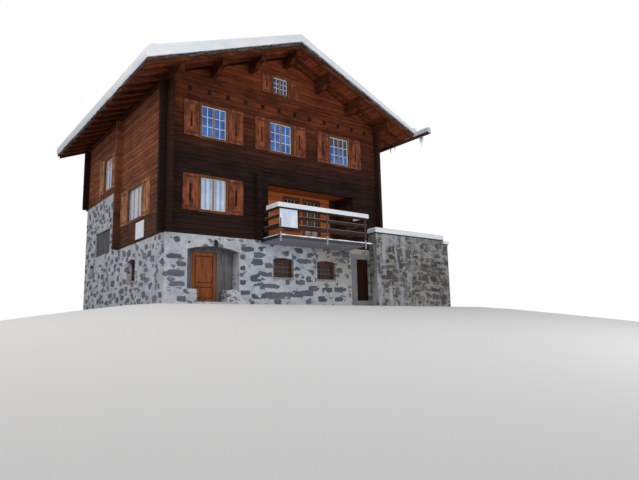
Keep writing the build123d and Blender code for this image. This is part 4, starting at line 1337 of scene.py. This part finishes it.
@dataclass
class Windows:
    """Glass, glazing bars and shutter furniture."""

    white: Colour = (0.74, 0.74, 0.74)
    brown: Colour = (0.16, 0.075, 0.04)
    iron: Colour = (0.03, 0.028, 0.028)
    bar: float = 0.022
    cellar_bar: float = 0.045
    proud: float = 0.012
    strap: tuple[float, float, float] = (0.82, 0.006, 0.024)
    strap_shares: Range = (0.09, 0.91)

    def build(self) -> None:
        """Dress the panes, lay bars over them and straps over the shutters."""
        dress(GlassFinish(), "window_glass")
        white = PaintFinish("bar_paint", self.white, 0.5).material()
        brown = PaintFinish("cellar_bars", self.brown, 0.6).material()
        bars = Field("glazing_bars", Shape.BLOCK, white, "joinery")
        cellar = Field("cellar_glazing_bars", Shape.BLOCK, brown, "joinery")
        for low, high in islands("window_glass"):
            if low.z < BASE_TOP:
                self._bars(cellar, low, high, self.cellar_bar)
            elif not (high.y < -HALF_DEPTH + NEAR_WALL and high.z < FIRST_WINDOWS_TOP):
                self._bars(bars, low, high, self.bar)
        bars.build()
        cellar.build()
        iron = PaintFinish("iron_straps", self.iron, 0.6, 0.4).material()
        straps = Field("shutter_straps", Shape.BLOCK, iron, "iron")
        for low, high in islands("shutters"):
            self._straps(straps, low, high)
        straps.build()

    def _lay(self, strips: Field, box: Box, share: float, size: Place, on_face: bool = False) -> None:
        """Lay one strip over a pane or a shutter.

        Args:
            strips: the field that it joins.
            box: the pane's or shutter's lowest and highest corner.
            share: height of its middle, as a share of the box's.
            size: its size through the box, along it and upwards.
            on_face: whether its middle lies on the outer face.
        """
        low, high = box
        thin = 0 if high.x - low.x < high.y - low.y else 1
        place = (low + high) / 2
        if on_face:
            place[thin] = (high if place[thin] > 0 else low)[thin]
        place.z = low.z + (high.z - low.z) * share
        through, along, upwards = size
        strips.add(place, (through, along, upwards) if thin == 0 else (along, through, upwards))

    def _bars(self, bars: Field, low: Vector, high: Vector, bar: float) -> None:
        """Bars of one pane: one upright and two across.

        Args:
            bars: the pieces that they are added to.
            low: the pane's low corner.
            high: its high corner.
            bar: width of a bar.
        """
        size = high - low
        through = min(size.x, size.y) + 2 * self.proud
        self._lay(bars, (low, high), 0.5, (through, bar, size.z))
        for share in (1 / 3, 2 / 3):
            self._lay(bars, (low, high), share, (through, max(size.x, size.y), bar))

    def _straps(self, straps: Field, low: Vector, high: Vector) -> None:
        """Two iron straps on the outer face of one shutter.

        Args:
            straps: the pieces that they are added to.
            low: the shutter's low corner.
            high: its high corner.
        """
        size = high - low
        share_wide, depth, height = self.strap
        for share in self.strap_shares:
            along = max(size.x, size.y) * share_wide
            self._lay(straps, (low, high), share, (depth, along, height), on_face=True)


@dataclass(frozen=True)
class Slope:
    """One slope of stone slabs and the height at which its slab ends lie."""

    side: int
    low: Vector
    high: Vector
    seat: float = 0.05

    @property
    def reach(self) -> float:
        """Distance of the eave from the ridge."""
        return max(abs(self.low.x), abs(self.high.x))

    @property
    def fall(self) -> float:
        """How far the slope falls from the ridge to the eave."""
        return self.high.z - self.low.z - self.seat

    @property
    def turn(self) -> float:
        """Angle by which a slab end is turned to lie on the slope."""
        return self.side * math.atan2(self.fall, self.reach)

    def height(self, x: float) -> float:
        """Height of the underside of the slabs at a place across the roof."""
        return self.high.z - self.seat - self.fall * abs(x) / self.reach


@dataclass
class RoofEdges:
    """Ragged stone slabs along the verges and eaves, and the snow and ice on the roof."""

    slab: Tones = Tones((0.026, 0.022, 0.021), (0.16, 0.145, 0.145))
    thin_snow: Tones = Tones((0.46, 0.53, 0.64), (0.66, 0.70, 0.77))
    step: float = 0.25
    verge_inset: float = 0.16
    verge_lift: Range = (-0.02, 0.05)
    verge_tilt: Range = (-0.05, 0.05)
    verge_twist: Range = (-0.10, 0.10)
    verge_out: Range = (-0.01, 0.055)
    verge_depth: Range = (0.08, 0.16)
    verge_width: Range = (0.26, 0.50)
    verge_thickness: Range = (0.03, 0.065)
    eave_width: Range = (0.3, 0.62)
    eave_thickness: Range = (0.03, 0.05)
    eave_layers: tuple[Range, ...] = ((0.0, 0.4), (0.045, 0.10))
    eave_out: Range = (0.0, 0.05)
    eave_lift: Range = (0.01, 0.05)
    eave_twist: Range = (-0.08, 0.08)
    eave_share: float = 0.94
    eave_end: float = 0.2
    icicles: tuple[Range, ...] = ((0.44, 0.30), (0.52, 0.52), (0.61, 0.36), (2.3, 0.22), (2.6, 0.32))
    icicle_width: float = 0.08
    icicle_seat: float = 0.03
    gutter_middle: float = 0.10
    lump_start: float = 0.13
    lump_step: float = 0.17
    lump_length: float = 0.42
    free_lump: tuple[float, Range, float] = (0.24, (0.30, 0.35), 0.09)
    gutter_lump: tuple[float, Range, float] = (0.17, (0.22, 0.27), 0.06)

    def build(self) -> None:
        """Dress the roof nodes and add the slab ends, lumps and icicles."""
        stone = dress(BlockFinish("roof_slab", self.slab), "roof_slabs_left", "roof_slabs_right")
        dress(SnowFinish(), "roof_snow_left", "roof_snow_right", "wing_snow", "wing_step_snow",
              "balcony_snow")
        dice = random.Random(SEED)
        plates = Field("slab_ends", Shape.BLOCK, stone, "slab", ragged=0.02)
        for node, side in (("roof_slabs_left", -1), ("roof_slabs_right", 1)):
            slope = Slope(side, *corners(node))
            self._verges(plates, slope, dice)
            self._eaves(plates, slope, dice)
        plates.build()
        self._ice(dice)

    def _verges(self, plates: Field, slope: Slope, dice: random.Random) -> None:
        """Slab ends that stand out at the front and rear verge.

        Args:
            plates: the pieces that they are added to.
            slope: the roof's slope.
            dice: source of random numbers.
        """
        for index in range(int(slope.reach / self.step)):
            x = slope.side * (slope.reach - self.verge_inset - index * self.step)
            for face in (slope.low.y, slope.high.y):
                out = dice.uniform(*self.verge_out)
                depth = dice.uniform(*self.verge_depth)
                size = (dice.uniform(*self.verge_width), depth, dice.uniform(*self.verge_thickness))
                y = face + math.copysign(1.0, face) * (out - depth / 2)
                place = (x, y, slope.height(x) + dice.uniform(*self.verge_lift))
                turn = (0.0, slope.turn + dice.uniform(*self.verge_tilt), dice.uniform(*self.verge_twist))
                plates.add(place, size, turn)

    def _eaves(self, plates: Field, slope: Slope, dice: random.Random) -> None:
        """Slab ends that stand out along an eave.

        Args:
            plates: the pieces that they are added to.
            slope: the roof's slope.
            dice: source of random numbers.
        """
        y = slope.low.y + self.eave_end
        while y < slope.high.y - self.eave_end:
            width = dice.uniform(*self.eave_width)
            for drop, reach in self.eave_layers:
                x = slope.side * (slope.reach + dice.uniform(*self.eave_out) - (reach + drop) / 2)
                place = (x, y + width / 2, slope.height(x) + dice.uniform(*self.eave_lift) - drop)
                turn = (0.0, slope.turn, dice.uniform(*self.eave_twist))
                plates.add(place, (reach, width, dice.uniform(*self.eave_thickness)), turn)
            y += width * self.eave_share

    def _ice(self, dice: random.Random) -> None:
        """Icicles under the gutter, and the snow that lies in it, higher where it runs out past the roof.

        Args:
            dice: source of random numbers.
        """
        ice = Field("icicles", Shape.ICICLE, IceFinish().material(), "snow", ragged=0.01)
        low, high = corners("gutter")
        x = high.x - self.gutter_middle
        for along, length in self.icicles:
            size = (self.icicle_width, self.icicle_width, length)
            ice.add((x, low.y + along, low.z - length + self.icicle_seat), size)
        ice.build()
        thin = SnowFinish("thin_snow", self.thin_snow).material()
        fill = Field("gutter_snow", Shape.LUMP, thin, "snow", ragged=0.03)
        eave_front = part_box("roof_slabs_right")[0][1]
        y = low.y + self.lump_start
        while y < high.y - self.eave_end:
            free = y < eave_front
            width, heights, lift = self.free_lump if free else self.gutter_lump
            fill.add((x, y, high.z + lift), (width, self.lump_length, dice.uniform(*heights)))
            y += self.lump_step
        fill.build()


@dataclass
class Balcony:
    """The balcony's steelwork, the thin snow along its edge, and its hanging cloth."""

    columns: int = 28
    rows: int = 22
    snow_lift: float = 0.062
    front_widths: Range = (0.25, 0.6)
    front_heights: Range = (0.035, 0.075)
    front_overlap: Range = (0.45, 0.7)
    front_depth: float = 0.06
    side_heights: Range = (0.03, 0.05)
    side_size: Range = (0.05, 0.36)
    side_step: float = 0.2

    def build(self) -> None:
        """Dress the balcony, lay its edge snow and hang its cloth."""
        dress(SteelFinish(), "balcony_frame")
        self._cloth()
        low, high = corners("balcony_frame")
        top = corners("balcony_slab")[1].z + self.snow_lift
        lumps = Field("fascia_snow", Shape.LUMP, bpy.data.materials["snow"], "snow", ragged=0.02)
        dice = random.Random(SEED + 1)
        x = low.x + 0.05
        while x < high.x - 0.2:
            width = dice.uniform(*self.front_widths)
            size = (width, self.front_depth, dice.uniform(*self.front_heights))
            lumps.add((x + width / 2, low.y + 0.045, top), size)
            x += width * dice.uniform(*self.front_overlap)
        y = low.y + 0.1
        while y < high.y - 0.3:
            lumps.add((low.x + 0.02, y + 0.15, top), (*self.side_size, dice.uniform(*self.side_heights)))
            y += self.side_step
        lumps.build()

    def _cloth(self) -> None:
        """A plain cloth hung over the rail at the left."""
        low, high = corners("balcony_banner")
        size = high - low
        vertices = []
        for row in range(self.rows + 1):
            for column in range(self.columns + 1):
                across = column / self.columns
                drop = row / self.rows
                wave = drop * (0.006 * math.sin(9.0 * across + 1.5) + 0.004 * math.sin(21.0 * across))
                y = (low.y + high.y) / 2 + wave
                vertices.append((low.x + size.x * across, y, high.z - size.z * drop))
        faces = grid_faces(self.rows, self.columns, rows_first=True)
        piece = smooth_mesh("rail_cloth", vertices, faces, ClothFinish().material())
        keep(piece)
        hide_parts("balcony_banner")


@dataclass
class Metalwork:
    """Grilles and lantern."""

    rusty: Colour = (0.085, 0.045, 0.030)
    wrought: Colour = (0.020, 0.020, 0.022)

    def build(self) -> None:
        """Dress the metal nodes."""
        dress(PaintFinish("rusty_iron", self.rusty, 0.7, 0.2, 0.5), "window_grilles")
        dress(PaintFinish("wrought_iron", self.wrought, 0.55, 0.5), "wall_lantern")


@dataclass
class Stage:
    """The pale floor, the soft lights and the camera."""

    lens: float = 31.35
    sensor: float = 36.0
    eye: Place = (-12.62, -23.85, -1.01)
    angles: Place = (38.04, 9.25, -1.39)
    image_width: float = 639.0
    shift: Range = (-7.1, 0.4)
    aim: Place = (0.0, 0.0, 4.0)
    level_reach: Place = (-6.0, 10.2, -6.4, 6.4)
    fall: float = 0.15
    far: float = 19.0
    clip: float = 400.0
    floor: Colour = (0.82, 0.82, 0.82)
    floor_top: float = -0.002
    world_light: float = 0.5
    span: int = 70
    squares: int = 140

    def build(self) -> None:
        """Build floor, world, lights and camera."""
        self._floor()
        self._world()
        self._light("key", (-17.0, -13.0, 13.0), 10.0, 1150.0, (1.0, 0.97, 0.93))
        self._light("fill", (6.0, -26.0, 4.0), 12.0, 1250.0, (0.96, 0.98, 1.0))
        self._light("rear", (6.0, 20.0, 16.0), 12.0, 750.0, (1.0, 1.0, 1.0))
        self._camera()

    def _depth(self, x: float, y: float) -> float:
        """Depth of the floor below the house's foot at a place round it.

        Args:
            x: the place's x.
            y: the place's y.

        Returns:
            The depth.
        """
        low_x, high_x, low_y, high_y = self.level_reach
        off = min(self.far, math.hypot(max(0.0, low_x - x, x - high_x), max(0.0, low_y - y, y - high_y)))
        return self.fall * off * off / (off + 1.0)

    def _floor(self) -> None:
        """A plain floor that is level under the house and falls away around it."""
        places = [-self.span + 2.0 * self.span * index / self.squares for index in range(self.squares + 1)]
        vertices = [(x, y, self.floor_top - self._depth(x, y)) for y in places for x in places]
        faces = grid_faces(self.squares, self.squares, rows_first=False)
        floor = PaintFinish("floor", self.floor, 0.9, wear=0.0).material()
        smooth_mesh("floor", vertices, faces, floor)

    def _world(self) -> None:
        """A plain world that looks white to the camera and in mirrors, and lights half as strongly."""
        world = bpy.data.worlds.new("studio")
        bpy.context.scene.world = world
        world.use_nodes = True
        tree = world.node_tree
        back = tree.nodes["Background"]
        back.inputs["Color"].default_value = (1.0, 1.0, 1.0, 1.0)
        rays = tree.nodes.new("ShaderNodeLightPath")
        seen = Value(tree, rays.outputs["Is Camera Ray"])
        for name in ("Is Glossy Ray", "Is Transmission Ray"):
            seen = seen.math("MAXIMUM", Value(tree, rays.outputs[name]))
        strength = seen * (1.0 - self.world_light) + self.world_light
        tree.links.new(strength.socket, back.inputs["Strength"])

    def _light(self, name: str, place: Place, size: float, power: float, colour: Colour) -> None:
        """A square soft light that looks at the house.

        Args:
            name: its name.
            place: where it stands.
            size: its width.
            power: its power in watts.
            colour: its colour.
        """
        data = bpy.data.lights.new(name, "AREA")
        data.size = size
        data.energy = power
        data.color = colour
        lamp = placed(name, data)
        lamp.location = place
        lamp.rotation_euler = (Vector(self.aim) - Vector(place)).to_track_quat("-Z", "Y").to_euler()

    def _camera(self) -> None:
        """A camera below the front-left corner, as in the photograph."""
        yaw, pitch, roll = (math.radians(angle) for angle in self.angles)
        turn = Matrix.Rotation(-yaw, 4, "Z") @ Matrix.Rotation(math.pi / 2 + pitch, 4, "X")
        data = bpy.data.cameras.new("camera")
        data.lens = self.lens
        data.sensor_width = self.sensor
        data.shift_x, data.shift_y = (part / self.image_width for part in self.shift)
        data.clip_end = self.clip
        camera = placed("camera", data)
        camera.matrix_world = Matrix.Translation(self.eye) @ turn @ Matrix.Rotation(roll, 4, "Z")
        bpy.context.scene.camera = camera


def plain(box: Iterable) -> list:
    """Nested plain lists of numbers from a box."""
    return [[float(part) for part in corner] for corner in box]


def main() -> None:
    """Build every sub-assembly in order, then the stage."""
    bpy.context.scene.view_settings.view_transform = "Standard"
    for assembly in (Stonework, Timber, Windows, RoofEdges, Balcony, Metalwork, Stage):
        assembly().build()


if __name__ == "__main__":
    main()
